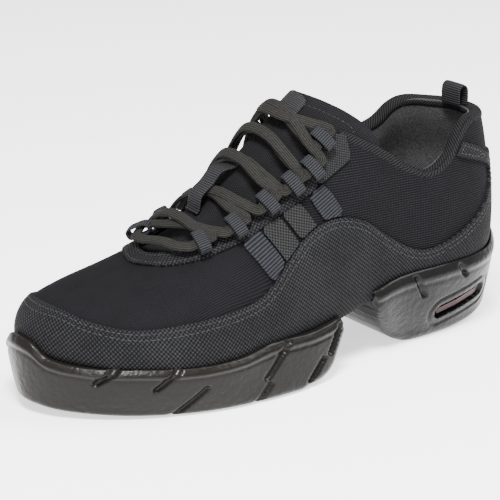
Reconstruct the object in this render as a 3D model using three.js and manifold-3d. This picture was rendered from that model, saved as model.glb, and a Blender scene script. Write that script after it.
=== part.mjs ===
// A low split-sole dance sneaker for the left foot, in millimetres.
// +X runs to the toe, +Y to the outer side and +Z up; z = 0 is the floor.
// The origin is on the floor, at the centre of the heel's flat resting spot.

import * as THREE from "three";
import { mergeVertices } from "three/addons/utils/BufferGeometryUtils.js";
import Module from "manifold-3d";

const wasm = await Module();
wasm.setup();

// Driving sizes of the last, the form that the upper is pulled over
const lastLength = 259;
const ballWidth = 90;
const heelLift = 33;
const crestHeight = 150;
const featherRound = 7;
const heelReach = 44;

// Driving sizes of the upper and of what is sewn on it
const wall = 2.4;
const collarPad = 4;
const collarTilt = 0.13;
const clearance = 0.3;
const overlayThick = 1.1;
const stayWidth = 8;
const webThick = 1.3;
const webWidth = 11;

// Driving sizes of the soles
const soleTop = 42;
const soleFlare = 6;
const soleRound = 4;
const grooveDeep = 1.6;
const slashWide = 2.2;
const slotDeep = 4.2;
const slotHigh = 8;
const barHigh = 3.6;
const treadDeep = 2.2;
const treadWide = 3.2;

// Driving sizes of the insides, the tongue and the lacing
const insoleThick = 3.6;
const tongueThick = 5;
const tongueRise = 3.4;
const tongueLap = 6;
const labelLong = 11;
const labelWide = 15;
const labelThick = 0.9;
const laceWide = 5.4;
const laceThick = 3;
const laceDip = 1.6;
const topBow = 12;
const topRise = 1.5;
const loopLong = 6;
const loopReach = 13;
const loopRoom = 0.6;
const loopOut = 2.5;
const pullWide = 14;
const pullHigh = 10;
const pullGap = 5;
const keeperLong = 24;

// How finely the forms are faceted
const STATIONS = 21;
const ROUND_ROWS = 2;
const SIDE_ROWS = 8;
const ROWS = ROUND_ROWS + SIDE_ROWS;

// The last, a row for each station from the heel's back to the toe's tip. along and crestAlong are shares of
// lastLength; lateral, medial, crestAcross and bulge of ballWidth; lift of heelLift and crest of crestHeight.
// side and top are the powers that square off the flank and the crown.
const LAST = [
  { along: 0, lateral: 0, medial: 0, lift: 1, bulge: 0.03, side: 2.9, top: 2.3 },
  { along: 0.022, lateral: 0.2, medial: -0.2, lift: 1, bulge: 0.035, side: 2.9, top: 2.3 },
  { along: 0.085, lateral: 0.325, medial: -0.33, lift: 1, bulge: 0.04, side: 2.9, top: 2.3 },
  { along: 0.18, lateral: 0.375, medial: -0.365, lift: 1, bulge: 0.03, side: 2.8, top: 2.3 },
  { along: 0.29, lateral: 0.375, medial: -0.35, lift: 1, bulge: 0.02, side: 2.6, top: 2.1 },
  { along: 0.4, lateral: 0.405, medial: -0.33, lift: 0.84, bulge: 0.012, side: 2.3, top: 1.9 },
  { along: 0.51, lateral: 0.45, medial: -0.36, lift: 0.65, bulge: 0.014, side: 2.1, top: 1.75 },
  { along: 0.62, lateral: 0.485, medial: -0.44, lift: 0.53, bulge: 0.02, side: 2.1, top: 1.7 },
  { along: 0.72, lateral: 0.495, medial: -0.5, lift: 0.48, bulge: 0.025, side: 2.2, top: 1.8 },
  { along: 0.81, lateral: 0.44, medial: -0.51, lift: 0.5, bulge: 0.025, side: 2.4, top: 2 },
  { along: 0.9, lateral: 0.31, medial: -0.47, lift: 0.57, bulge: 0.02, side: 2.6, top: 2.4 },
  { along: 0.97, lateral: 0.11, medial: -0.34, lift: 0.68, bulge: 0.015, side: 2.8, top: 2.6 },
  { along: 1, lateral: -0.11, medial: -0.11, lift: 0.74, bulge: 0.01, side: 2.9, top: 2.7 },
];

// The last's crest line, where its two flanks meet, a row for each row of LAST in the same shares
const CREST = [
  { along: 0.17, across: 0, crest: 1.08 },
  { along: 0.178, across: 0, crest: 1.08 },
  { along: 0.216, across: 0, crest: 1.07 },
  { along: 0.266, across: 0, crest: 1.045 },
  { along: 0.336, across: -0.005, crest: 0.985 },
  { along: 0.425, across: -0.02, crest: 0.88 },
  { along: 0.525, across: -0.035, crest: 0.735 },
  { along: 0.62, across: -0.05, crest: 0.58 },
  { along: 0.707, across: -0.07, crest: 0.48 },
  { along: 0.78, across: -0.09, crest: 0.42 },
  { along: 0.846, across: -0.11, crest: 0.383 },
  { along: 0.888, across: -0.12, crest: 0.366 },
  { along: 0.903, across: -0.12, crest: 0.358 },
];

// The collar's edge from the side. along is a share of lastLength and up of crestHeight.
const COLLAR = [
  { along: -0.12, up: 0.745 },
  { along: 0.03, up: 0.75 },
  { along: 0.09, up: 0.755 },
  { along: 0.125, up: 0.728 },
  { along: 0.16, up: 0.67 },
  { along: 0.21, up: 0.641 },
  { along: 0.26, up: 0.672 },
  { along: 0.31, up: 0.728 },
  { along: 0.375, up: 0.788 },
  { along: 0.42, up: 0.812 },
  { along: 0.5, up: 0.83 },
];

// The throat from above. along is a share of lastLength; axis, its middle, and half, its half width, of ballWidth.
const THROAT = [
  { along: 0.757, axis: -0.075, half: 0 },
  { along: 0.752, axis: -0.075, half: 0.07 },
  { along: 0.735, axis: -0.073, half: 0.145 },
  { along: 0.71, axis: -0.067, half: 0.192 },
  { along: 0.68, axis: -0.055, half: 0.215 },
  { along: 0.62, axis: -0.035, half: 0.235 },
  { along: 0.55, axis: -0.012, half: 0.233 },
  { along: 0.48, axis: 0.007, half: 0.228 },
  { along: 0.41, axis: 0.013, half: 0.224 },
  { along: 0.34, axis: 0.01, half: 0.22 },
];

// The mudguard's upper edge from the side, from the toe to where it meets the collar behind the ankle.
const MUDGUARD = [
  { along: 1.06, up: 0.362 },
  { along: 0.973, up: 0.353 },
  { along: 0.93, up: 0.318 },
  { along: 0.865, up: 0.293 },
  { along: 0.753, up: 0.3 },
  { along: 0.65, up: 0.318 },
  { along: 0.6, up: 0.352 },
  { along: 0.545, up: 0.43 },
  { along: 0.495, up: 0.493 },
  { along: 0.436, up: 0.52 },
  { along: 0.37, up: 0.492 },
  { along: 0.3, up: 0.405 },
  { along: 0.235, up: 0.349 },
  { along: 0.17, up: 0.362 },
  { along: 0.1, up: 0.41 },
  { along: 0.05, up: 0.465 },
  { along: 0.03, up: 0.53 },
  { along: 0.05, up: 0.582 },
  { along: 0.15, up: 0.645 },
];

// The upper edge of the mudguard's heel band, from the collar to the heel's back.
const HEEL_BAND = [
  { along: 0.14, up: 0.695 },
  { along: 0.08, up: 0.652 },
  { along: 0.03, up: 0.612 },
  { along: -0.12, up: 0.59 },
];

// The tongue from the side, from its front end over its top and down its wing at the ankle.
const TONGUE = [
  { along: 0.8, up: 0.3 },
  { along: 0.8, up: 0.7 },
  { along: 0.56, up: 1.1 },
  { along: 0.485, up: 0.935 },
  { along: 0.46, up: 0.905 },
  { along: 0.42, up: 0.885 },
  { along: 0.36, up: 0.825 },
  { along: 0.315, up: 0.745 },
  { along: 0.3, up: 0.64 },
  { along: 0.37, up: 0.6 },
  { along: 0.47, up: 0.55 },
  { along: 0.57, up: 0.45 },
  { along: 0.68, up: 0.36 },
];

// The soles' edge from the heel's back, where way is 0, to the toe, where it is 1. top is the wall's height as a
// share of soleTop; under, flare and foot are shares of soleFlare: how far the bottom stands off the floor, and
// how far the wall's top and its bottom stand out from the last's edge.
const SOLE = [
  { way: 0, top: 1.3, under: 1.4, flare: 1.4, foot: 0.9 },
  { way: 0.05, top: 1.16, under: 1, flare: 1.15, foot: 0.5 },
  { way: 0.1, top: 1.02, under: 0.45, flare: 0.95, foot: -0.3 },
  { way: 0.17, top: 1, under: 0.05, flare: 0.85, foot: -1.1 },
  { way: 0.25, top: 1, under: 0, flare: 0.85, foot: -1.3 },
  { way: 0.34, top: 0.96, under: 0, flare: 0.85, foot: -1.2 },
  { way: 0.42, top: 0.78, under: 0, flare: 0.85, foot: 0.4 },
  { way: 0.5, top: 0.67, under: 0, flare: 1.1, foot: 1.1 },
  { way: 0.58, top: 0.67, under: 0, flare: 1, foot: 0.95 },
  { way: 0.64, top: 0.61, under: 0, flare: 1.1, foot: 0.5 },
  { way: 0.72, top: 0.595, under: 0, flare: 1.05, foot: 0 },
  { way: 0.8, top: 0.63, under: 0.12, flare: 1, foot: -0.1 },
  { way: 0.88, top: 0.66, under: 0.35, flare: 1.05, foot: 0.1 },
  { way: 0.94, top: 0.73, under: 0.55, flare: 1.1, foot: 0.4 },
  { way: 0.97, top: 0.87, under: 0.7, flare: 1.15, foot: 0.55 },
  { way: 1, top: 0.9, under: 0.8, flare: 1.15, foot: 0.65 },
];

// The soles' wall from the floor to its rim. up is a share of the wall's height, mix goes from foot to flare,
// and inset is a share of soleRound.
const WALL = [
  { up: 0, mix: 0, inset: 1 },
  { up: 0.06, mix: 0, inset: 0.25 },
  { up: 0.17, mix: 0.08, inset: 0 },
  { up: 0.45, mix: 0.5, inset: 0 },
  { up: 0.74, mix: 0.86, inset: 0.05 },
  { up: 0.82, mix: 0.95, inset: 0.2 },
  { up: 0.89, mix: 1, inset: 0 },
  { up: 1, mix: 1, inset: 0.4 },
];

// The back end of the forefoot pod and the front end of the heel pod, from the side: along is a share of
// lastLength and up of soleTop.
const FORE_END = [
  { along: 0.455, up: 1.5 },
  { along: 0.446, up: 0.8 },
  { along: 0.437, up: 0.55 },
  { along: 0.445, up: 0.32 },
  { along: 0.465, up: 0.13 },
  { along: 0.493, up: 0.03 },
  { along: 0.53, up: 0 },
];
const HEEL_END = [
  { along: 0.37, up: 1.5 },
  { along: 0.357, up: 0.95 },
  { along: 0.343, up: 0.72 },
  { along: 0.329, up: 0.5 },
  { along: 0.302, up: 0.27 },
  { along: 0.262, up: 0.08 },
  { along: 0.238, up: 0 },
];

// Slanting cuts in the forefoot pod's side: from and to are shares of lastLength, high and low of soleTop.
const SLASHES = [
  { from: 0.905, high: 0.55, to: 0.93, low: 0.3 },
  { from: 0.79, high: 0.52, to: 0.83, low: 0.2 },
  { from: 0.715, high: 0.3, to: 0.78, low: -0.05 },
  { from: 0.565, high: 0.62, to: 0.6, low: 0.22 },
  { from: 0.59, high: 0.2, to: 0.63, low: -0.05 },
  { from: 0.49, high: 0.5, to: 0.51, low: 0.2 },
];

// The slot in the heel pod's side: the centres of its round ends, in the same shares.
const SLOT = { front: 0.165, frontUp: 0.35, back: 0.056, backUp: 0.47 };

// The webbing straps of each side: along is where a strap's middle crosses half of crestHeight.
const STRAPS = [{ along: 0.608 }, { along: 0.556 }, { along: 0.5 }, { along: 0.43 }];
const strapLean = 0.54;
const tapeEnd = { front: 0.462, back: 0.385 };

// The six lace loops of each side: outer and inner are their places along the throat, as shares of lastLength, and
// outerOut and innerOut, shares of loopOut, how far out of its edge they lie.
const LOOPS = [
  { outer: 0.683, outerOut: 1, inner: 0.733, innerOut: -1 },
  { outer: 0.62, outerOut: 1, inner: 0.655, innerOut: 1 },
  { outer: 0.557, outerOut: 1, inner: 0.59, innerOut: 1 },
  { outer: 0.507, outerOut: 1, inner: 0.538, innerOut: 1 },
  { outer: 0.466, outerOut: 1, inner: 0.492, innerOut: 1 },
  { outer: 0.432, outerOut: -0.4, inner: 0.448, innerOut: 0 },
];

// Where the lace's keeper, the label and the pull loop sit, and the grooves of the tread, as shares of lastLength
const keeperAlong = 0.606;
const keeperRow = 1;
const labelAlong = 0.449;
const pullAlong = 0.043;
const FORE_TREAD = [0.6, 0.66, 0.72, 0.78, 0.84];
const HEEL_TREAD = [0.13, 0.21];

// A smooth curve through a table's rows: the column key where the column by has the value place.
function columnAt(rows, by, key, place) {
  const rising = rows[rows.length - 1][by] > rows[0][by] ? 1 : -1;
  let i = 0;
  while (i < rows.length - 2 && (place - rows[i + 1][by]) * rising > 0) i++;
  const slope = (k) => {
    const a = rows[Math.max(0, k - 1)];
    const b = rows[Math.min(rows.length - 1, k + 1)];
    return (b[key] - a[key]) / (b[by] - a[by]);
  };
  const width = rows[i + 1][by] - rows[i][by];
  const f = Math.min(1, Math.max(0, (place - rows[i][by]) / width));
  const h = f * f * (3 - 2 * f);
  const bend = f * (1 - f) * ((1 - f) * slope(i) - f * slope(i + 1)) * width;
  return rows[i][key] * (1 - h) + rows[i + 1][key] * h + bend;
}

const smoothStep = (low, high, value) => {
  const f = Math.min(1, Math.max(0, (value - low) / (high - low)));
  return f * f * (3 - 2 * f);
};
const xAt = (along) => along * lastLength - heelReach;
const alongAt = (x) => (x + heelReach) / lastLength;
const point = (x, y) => new THREE.Vector2(x, y);

// One station of the last at turn, which goes once round its bottom edge: 0 at the heel's back, 0.5 at the toe.
function stationAt(turn) {
  const rows = LAST.length - 1;
  const place = (((turn % 1) + 1) % 1) * 2 * rows;
  const i = Math.floor(place);
  const f = place - i;
  const rowOf = (k) => {
    const wrapped = (k + 4 * rows) % (2 * rows);
    const outer = wrapped <= rows;
    const n = outer ? wrapped : 2 * rows - wrapped;
    const { along, lateral, medial, lift, bulge, side, top } = LAST[n];
    const { along: crestAlong, across: crestAcross, crest } = CREST[n];
    return { along, across: outer ? lateral : medial, lift, bulge, side, top, crestAlong, crestAcross, crest };
  };
  const near = [i - 1, i, i + 1, i + 2].map(rowOf);
  const station = {};
  for (const key of Object.keys(near[0])) {
    const [p0, p1, p2, p3] = near.map((row) => row[key]);
    const curve = (2 * p0 - 5 * p1 + 4 * p2 - p3) * f * f + (3 * p1 - p0 - 3 * p2 + p3) * f * f * f;
    station[key] = 0.5 * (2 * p1 + (p2 - p0) * f + curve);
  }
  return station;
}

// The last's bottom edge at turn, with its outward direction in plan.
function edgeAt(turn) {
  const step = 0.004;
  const before = stationAt(turn - step);
  const after = stationAt(turn + step);
  const dx = (after.along - before.along) * lastLength;
  const dy = (after.across - before.across) * ballWidth;
  const run = Math.hypot(dx, dy);
  const here = stationAt(turn);
  const place = { x: xAt(here.along), y: here.across * ballWidth, z: here.lift * heelLift };
  return { ...here, ...place, outX: -dy / run, outY: dx / run };
}

// A point of the last. row goes from 0, the tucked edge underneath, over ROUND_ROWS, the top of the rounded
// edge, to ROWS at the crest line.
function lastPoint(turn, row) {
  const s = edgeAt(turn);
  if (row < ROUND_ROWS) {
    const a = ((row / ROUND_ROWS) * Math.PI) / 2;
    const inset = featherRound * (1 - Math.sin(a));
    const rise = featherRound * (1 - Math.cos(a));
    return new THREE.Vector3(s.x - s.outX * inset, s.y - s.outY * inset, s.z + rise);
  }
  const a = (((row - ROUND_ROWS) / SIDE_ROWS) * Math.PI) / 2;
  const inwards = 1 - Math.max(0, Math.cos(a)) ** (2 / s.side);
  const up = Math.sin(a) ** (2 / s.top);
  const swell = s.bulge * ballWidth * Math.sin(Math.PI * Math.sqrt(up));
  const low = s.z + featherRound;
  return new THREE.Vector3(
    s.x + (xAt(s.crestAlong) - s.x) * inwards + s.outX * swell,
    s.y + (s.crestAcross * ballWidth - s.y) * inwards + s.outY * swell,
    low + (s.crest * crestHeight - low) * up,
  );
}

// The last's outward normal.
function lastNormal(turn, row) {
  const step = 0.003;
  const held = Math.min(row, ROWS - 0.05);
  const along = lastPoint(turn + step, held).sub(lastPoint(turn - step, held));
  const up = lastPoint(turn, held + 0.04).sub(lastPoint(turn, Math.max(0, held - 0.04)));
  return up.cross(along).normalize();
}

// The place on the last straight above or below a point of the plan, with its normal.
function lastOver(x, y) {
  const axis = columnAt(THROAT, "along", "axis", alongAt(x)) * ballWidth;
  let turn = y > axis ? 0.3 : 0.7;
  let row = ROWS - 3;
  for (let round = 0; round < 40; round++) {
    const p = lastPoint(turn, row);
    const a = lastPoint(turn + 0.001, row).sub(p).multiplyScalar(1000);
    const b = lastPoint(turn, row - 0.05).sub(p).multiplyScalar(-20);
    const det = a.x * b.y - a.y * b.x;
    const [ex, ey] = [x - p.x, y - p.y];
    const turnBy = (ex * b.y - ey * b.x) / det;
    const rowBy = (a.x * ey - a.y * ex) / det;
    turn += Math.min(0.03, Math.max(-0.03, turnBy));
    row = Math.min(ROWS - 0.01, Math.max(ROUND_ROWS + 0.5, row + Math.min(1, Math.max(-1, rowBy))));
  }
  return { point: lastPoint(turn, row), normal: lastNormal(turn, row) };
}

// Solids

function solidOf(geometry) {
  const g = geometry.index ? geometry.toNonIndexed() : geometry;
  const bare = new THREE.BufferGeometry().setAttribute("position", g.getAttribute("position"));
  const merged = mergeVertices(bare, 1e-4);
  const triVerts = new Uint32Array(merged.index.array);
  const vertProperties = merged.attributes.position.array;
  return new wasm.Manifold(new wasm.Mesh({ numProp: 3, vertProperties, triVerts }));
}

// A closed solid of rings of points that run the same way round, one over the other. fill says how each end is
// closed: "halves" joins its two sides across, and "fan" goes to the ring's first point.
function loft(rings, fill) {
  const count = rings[0].length;
  const points = rings.flat();
  const faces = [];
  for (let r = 0; r + 1 < rings.length; r++)
    for (let i = 0; i < count; i++) {
      const j = (i + 1) % count;
      const [a, b, c, d] = [r * count + i, r * count + j, (r + 1) * count + j, (r + 1) * count + i];
      faces.push([a, c, b], [a, d, c]);
    }
  const ends = [
    [0, false],
    [(rings.length - 1) * count, true],
  ];
  for (const [start, top] of ends) {
    const at = (i) => start + ((i + count) % count);
    const put = (a, b, c) => faces.push(top ? [a, c, b] : [a, b, c]);
    if (fill === "fan") for (let i = 1; i + 1 < count; i++) put(at(0), at(i), at(i + 1));
    else
      for (let i = 0; i < count / 2; i++) {
        put(at(i), at(i + 1), at(-i - 1));
        put(at(i), at(-i - 1), at(-i));
      }
  }
  const g = new THREE.BufferGeometry();
  g.setAttribute("position", new THREE.Float32BufferAttribute(points.flatMap((p) => [p.x, p.y, p.z]), 3));
  const apart = (a, b) => points[a].distanceTo(points[b]) > 2e-4;
  g.setIndex(faces.filter(([a, b, c]) => apart(a, b) && apart(b, c) && apart(a, c)).flat());
  return solidOf(g);
}

// The turns at which the forms are cut, closer together round the heel and the toe.
const TURNS = Array.from({ length: 2 * STATIONS }, (_, i) => {
  const share = i / (2 * STATIONS);
  return share - 0.045 * Math.sin(4 * Math.PI * share);
});

// The last as a closed form, grown by offset(turn, row). drop lengthens it straight down.
function lastForm(offset, drop = 0) {
  const grown = (turn, row) => lastPoint(turn, row).addScaledVector(lastNormal(turn, row), offset(turn, row));
  const rings = [];
  if (drop > 0) rings.push(TURNS.map((turn) => grown(turn, 0).add(new THREE.Vector3(0, 0, -drop))));
  for (let row = 0; row < ROWS; row++) rings.push(TURNS.map((turn) => grown(turn, row)));
  const crest = TURNS.map((turn) => lastPoint(turn, ROWS).add(new THREE.Vector3(0, 0, offset(turn, ROWS))));
  rings.push(crest.map((p, i) => (i <= STATIONS ? p : crest[2 * STATIONS - i])));
  return loft(rings, "halves");
}

const evenForm = (offset, drop) => lastForm(() => offset, drop);

// A plate that follows the last's bottom edge, inside it by insetLow at its bottom and insetHigh at its top.
function plate(low, high, insetLow, insetHigh) {
  const ring = (up, inset) =>
    TURNS.map((turn) => {
      const s = edgeAt(turn);
      return new THREE.Vector3(s.x - s.outX * inset, s.y - s.outY * inset, s.z + up);
    });
  return loft([ring(low, insetLow), ring(high, insetHigh)], "halves");
}

// Straight cutters: an outline from the side, drawn through along Y, and one from above, through along Z. tiltAt
// gives how far the side one drops for each millimetre outwards, and steps how finely it is drawn through.
function sideCutter(outline, from, to, tiltAt = () => 0, steps = 1) {
  const g = new THREE.ExtrudeGeometry(new THREE.Shape(outline), { depth: to - from, steps, bevelEnabled: false });
  g.applyMatrix4(new THREE.Matrix4().set(1, 0, 0, 0, 0, 0, -1, to, 0, 1, 0, 0, 0, 0, 0, 1));
  const places = g.getAttribute("position");
  for (let i = 0; i < places.count; i++)
    places.setZ(i, places.getZ(i) - tiltAt(places.getX(i)) * places.getY(i));
  return solidOf(g);
}

function planCutter(outline, from, to) {
  const g = new THREE.ExtrudeGeometry(new THREE.Shape(outline), { depth: to - from, bevelEnabled: false });
  return solidOf(g.translate(0, 0, from));
}

const farSide = 90;
const farUp = 220;
const farOut = 300;
const sidePoints = (rows, height) => rows.map((r) => point(xAt(r.along), r.up * height));
const curveOf = (points, count) => new THREE.SplineCurve(points).getPoints(count);
const throatPlace = (row, sign) => point(xAt(row.along), (row.axis + sign * row.half) * ballWidth);

// The throat's outline from above, grown by grow, from one side round the front to the other.
function throatOutline(grow, back) {
  const side = (sign) => THROAT.filter((r) => r.half > 0).map((r) => throatPlace(r, sign));
  const curve = new THREE.SplineCurve([...side(1).reverse(), throatPlace(THROAT[0], 1), ...side(-1)]);
  const steps = 28;
  const points = Array.from({ length: steps + 1 }, (_, i) => {
    const p = curve.getPoint(i / steps);
    const along = curve.getTangent(i / steps);
    return point(p.x - along.y * grow, p.y + along.x * grow);
  });
  const kept = points.filter((p) => p.x > back + clearance);
  return [point(back, kept[0].y), ...kept, point(back, kept[kept.length - 1].y)];
}

// Sweeps a flat rounded section along frames of a place, a sideways direction and an upward one.
function ribbon(frames, width, thick, sides = 6) {
  const flat = (v) => Math.sign(v) * Math.abs(v) ** 0.62;
  const rings = frames.map(({ p, across, up }) =>
    Array.from({ length: sides }, (_, k) => {
      const a = ((k + 0.5) / sides) * 2 * Math.PI;
      const wide = (-flat(Math.cos(a)) * width) / 2;
      const high = (flat(Math.sin(a)) * thick) / 2;
      return p.clone().addScaledVector(across, wide).addScaledVector(up, high);
    }),
  );
  return loft(rings, "fan");
}

// Frames along a smooth line through places that each have an upward direction.
function framesAlong(places, count) {
  const line = new THREE.CatmullRomCurve3(places.map((s) => s.p), false, "centripetal");
  const ups = new THREE.CatmullRomCurve3(places.map((s) => s.up), false, "centripetal");
  return Array.from({ length: count + 1 }, (_, i) => {
    const t = i / count;
    const tangent = line.getTangent(t);
    const across = ups.getPoint(t).cross(tangent).normalize();
    return { p: line.getPoint(t), across, up: tangent.clone().cross(across) };
  });
}

function meshOf(name, solid, material) {
  const m = solid.getMesh();
  const positions = new Float32Array(m.numVert * 3);
  for (let i = 0; i < m.numVert; i++)
    positions.set(m.vertProperties.subarray(i * m.numProp, i * m.numProp + 3), i * 3);
  const g = new THREE.BufferGeometry();
  g.setAttribute("position", new THREE.BufferAttribute(positions, 3));
  g.setIndex(new THREE.BufferAttribute(m.triVerts, 1));
  g.computeVertexNormals();
  const mesh = new THREE.Mesh(g, material);
  mesh.name = name;
  return mesh;
}

const canvas = new THREE.MeshStandardMaterial({ color: 0x1c1c1f, roughness: 0.92, metalness: 0 });
const coarseCanvas = new THREE.MeshStandardMaterial({ color: 0x19191b, roughness: 0.95, metalness: 0 });
const webbing = new THREE.MeshStandardMaterial({ color: 0x222329, roughness: 0.85, metalness: 0 });
const lining = new THREE.MeshStandardMaterial({ color: 0x202020, roughness: 0.97, metalness: 0 });
const cord = new THREE.MeshStandardMaterial({ color: 0x24241f, roughness: 0.9, metalness: 0 });
const soleGloss = new THREE.MeshStandardMaterial({ color: 0x2a2a28, roughness: 0.3, metalness: 0 });
const slotTint = new THREE.MeshStandardMaterial({ color: 0x3a1418, roughness: 0.35, metalness: 0 });

const shoe = new THREE.Group();
const add = (name, solid, material) => shoe.add(meshOf(name, solid, material));

// The upper: a wall between two forms of the last, thicker at the ankle, open at the collar, throat and bottom

const collarAt = (x) => columnAt(COLLAR, "along", "up", alongAt(x)) * crestHeight;

// The collar is level at the heel and tilts outwards at the ankle.
const tiltAt = (x) => collarTilt * smoothStep(0.08, 0.22, alongAt(x));

// How much of the collar's padding the wall has at a place.
function padShare(turn, row) {
  const p = lastPoint(turn, row);
  const depth = collarAt(p.x) - tiltAt(p.x) * p.y - p.z;
  const back = 1 - smoothStep(0.2, 0.29, alongAt(p.x));
  return back * (1 - smoothStep(8, 34, depth));
}

// Everything over the collar's edge, raised by lift.
function aboveCollar(lift) {
  const line = curveOf(sidePoints(COLLAR, crestHeight), 28).map((p) => point(p.x, p.y + lift));
  const corners = [point(xAt(0.5), farUp), point(xAt(-0.12), farUp)];
  return sideCutter([...line, ...corners], -farSide, farSide, tiltAt, 8);
}

const box = (x0, x1, y0, y1) => [point(x0, y0), point(x1, y0), point(x1, y1), point(x0, y1)];
const outside = evenForm(0);
const inside = lastForm((turn, row) => -wall - collarPad * padShare(turn, row), soleTop);
const overCollar = aboveCollar(0);
const throat = planCutter(throatOutline(0, xAt(0.3)), soleTop, farUp);
const ankle = sideCutter(box(xAt(0.33), xAt(0.5), 0.775 * crestHeight, farUp), -farSide, farSide);
const openings = overCollar.add(throat).add(ankle);
add("upper", outside.subtract(inside).subtract(openings), canvas);

// The overlays: each is cut from the layer just outside the upper

const layer = (thick) => evenForm(clearance + thick).subtract(evenForm(clearance, soleTop));
const overlay = layer(overlayThick);
const webLayer = layer(webThick);
const halfSpace = (y0, y1) => planCutter(box(-farOut, farOut, y0, y1), 0, farUp);

// Everything under the mudguard's upper edge, raised by lift.
function guardForm(lift) {
  const raise = (points) => points.map((p) => point(p.x, p.y + lift));
  const line = curveOf(sidePoints(MUDGUARD, crestHeight), 44);
  const band = curveOf(sidePoints(HEEL_BAND, crestHeight), 8);
  const toeUp = MUDGUARD[0].up * crestHeight;
  const bandUp = HEEL_BAND[HEEL_BAND.length - 1].up * crestHeight;
  const corners = [point(-farOut, bandUp), point(-farOut, -soleTop), point(farOut, -soleTop), point(farOut, toeUp)];
  return sideCutter(raise([...line, ...band, ...corners]), -farSide, farSide);
}
add("mudguard", overlay.intersect(guardForm(0)).subtract(overCollar), coarseCanvas);

// The throat's edge on one side, moved out by out: its place on the last and the directions ahead, off the last
// and across.
function edgeFrame(side, along, out) {
  const edge = (a) => {
    const [axis, half] = [columnAt(THROAT, "along", "axis", a), columnAt(THROAT, "along", "half", a)];
    return point(xAt(a), (axis + side * half) * ballWidth);
  };
  const run = edge(along + 0.006).sub(edge(along - 0.006)).normalize();
  const place = (shift) => {
    const p = edge(along).add(point(-run.y * side * out, run.x * side * out)).addScaledVector(run, shift);
    return lastOver(p.x, p.y);
  };
  const { point: p, normal } = place(0);
  const ahead = place(4).point.sub(place(-4).point).normalize();
  const across = normal.clone().cross(ahead).normalize();
  return { p, ahead, across, up: ahead.clone().cross(across) };
}

const halves = [
  { side: 1, name: "outer", half: halfSpace(0, farSide) },
  { side: -1, name: "inner", half: halfSpace(-farSide, 0) },
];

// The space over the throat's surround, width wide, from its front to back. On the steep inner flank its lower
// edge is found from the side.
function stayForm(width, back) {
  const steep = [0.69, 0.63, 0.57, 0.51, 0.45, 0.39, 0.33].map((along) => {
    const { p, across } = edgeFrame(-1, along, 0);
    const low = p.addScaledVector(across, -width);
    return point(low.x, low.z);
  });
  const [first, last] = [steep[0], steep[steep.length - 1]];
  const corners = [point(last.x, farUp), point(farOut, farUp), point(farOut, soleTop), point(first.x, soleTop)];
  const flank = sideCutter([...steep, ...corners], -farSide, 0).add(halves[0].half);
  return planCutter(throatOutline(width, back), soleTop, farUp).intersect(flank);
}
const stay = stayForm(stayWidth, xAt(tapeEnd.front));
const tape = stayForm(stayWidth, xAt(tapeEnd.back));
const pastStay = stayForm(stayWidth + clearance, xAt(tapeEnd.front) - clearance);
const pastTape = stayForm(stayWidth + clearance, xAt(tapeEnd.back) - clearance);
const pastGuard = guardForm(3 * clearance);
add("throat_stay", overlay.intersect(stay).subtract(openings), coarseCanvas);

const strapHalf = (webWidth / 2) * Math.hypot(1, strapLean);
for (const { name, half } of halves) {
  STRAPS.forEach(({ along }, i) => {
    const across = (up) => xAt(along) + (up - 0.5) * crestHeight * strapLean;
    const [low, high] = [0.2, 0.85];
    const outline = [
      point(across(low) - strapHalf, low * crestHeight),
      point(across(low) + strapHalf, low * crestHeight),
      point(across(high) + strapHalf, high * crestHeight),
      point(across(high) - strapHalf, high * crestHeight),
    ];
    const strap = webLayer.intersect(sideCutter(outline, -farSide, farSide)).intersect(half);
    const bare = strap.subtract(pastStay).subtract(pastTape).subtract(pastGuard).subtract(openings);
    add(`strap_${i + 1}_${name}`, bare, webbing);
  });
  add(`tape_${name}`, webLayer.intersect(tape).intersect(half).subtract(pastStay).subtract(openings), webbing);
}

// The insides: a board in the upper's bottom opening and an insole on it

// How far in from the last's edge the upper's inner wall stands at a height over it.
function insideInset(height) {
  const round = featherRound - wall;
  const down = Math.min(round, featherRound - height);
  return featherRound - Math.sqrt(round * round - down * down);
}
const facetRoom = 4 * clearance;
const boardTop = wall;
const insoleLow = boardTop + 2 * clearance;
const insoleHigh = insoleLow + insoleThick;
const boardInset = featherRound + clearance;
add("board", plate(-clearance - overlayThick, boardTop, boardInset, boardInset), canvas);
const insetLow = insideInset(insoleLow) + facetRoom;
const insetHigh = insideInset(insoleHigh) + facetRoom;
add("insole", plate(insoleLow, insoleHigh, insetLow, insetHigh), lining);

// The tongue, its label and the lace's keeper

const tongueSeat = wall + clearance;

// How far the tongue swells up into the throat: 0 at the throat's edge and 1 round its axis.
function swellShare(p) {
  const along = alongAt(p.x);
  const half = Math.max(1, columnAt(THROAT, "along", "half", along) * ballWidth);
  const off = Math.abs(p.y - columnAt(THROAT, "along", "axis", along) * ballWidth) / half;
  return (1 - smoothStep(0.35, 0.75, off)) * (1 - smoothStep(0.66, 0.72, along));
}
const tongueForm = (above) =>
  lastForm((turn, row) => above - tongueSeat + tongueRise * swellShare(lastPoint(turn, row)));
const tongueSkin = tongueForm(0).subtract(tongueForm(-tongueThick));
const tongueLine = curveOf(sidePoints([...TONGUE, TONGUE[0]], crestHeight), 39).slice(0, -1);
const tongueSide = sideCutter(tongueLine, -farSide, farSide);
const tonguePlan = planCutter(throatOutline(tongueLap, xAt(0.29)), 0, farUp);
add("tongue", tongueSkin.intersect(tongueSide).intersect(tonguePlan), lining);

const labelX = xAt(labelAlong);
const labelY = columnAt(THROAT, "along", "axis", labelAlong) * ballWidth;
const labelBox = box(labelX - labelLong / 2, labelX + labelLong / 2, labelY - labelWide / 2, labelY + labelWide / 2);
const labelSkin = tongueForm(clearance + labelThick).subtract(tongueForm(clearance));
add("tongue_label", labelSkin.intersect(planCutter(labelBox, 0.6 * crestHeight, farUp)), webbing);

// The lacing: loops of webbing along the throat's edge, and the lace through them

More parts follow.
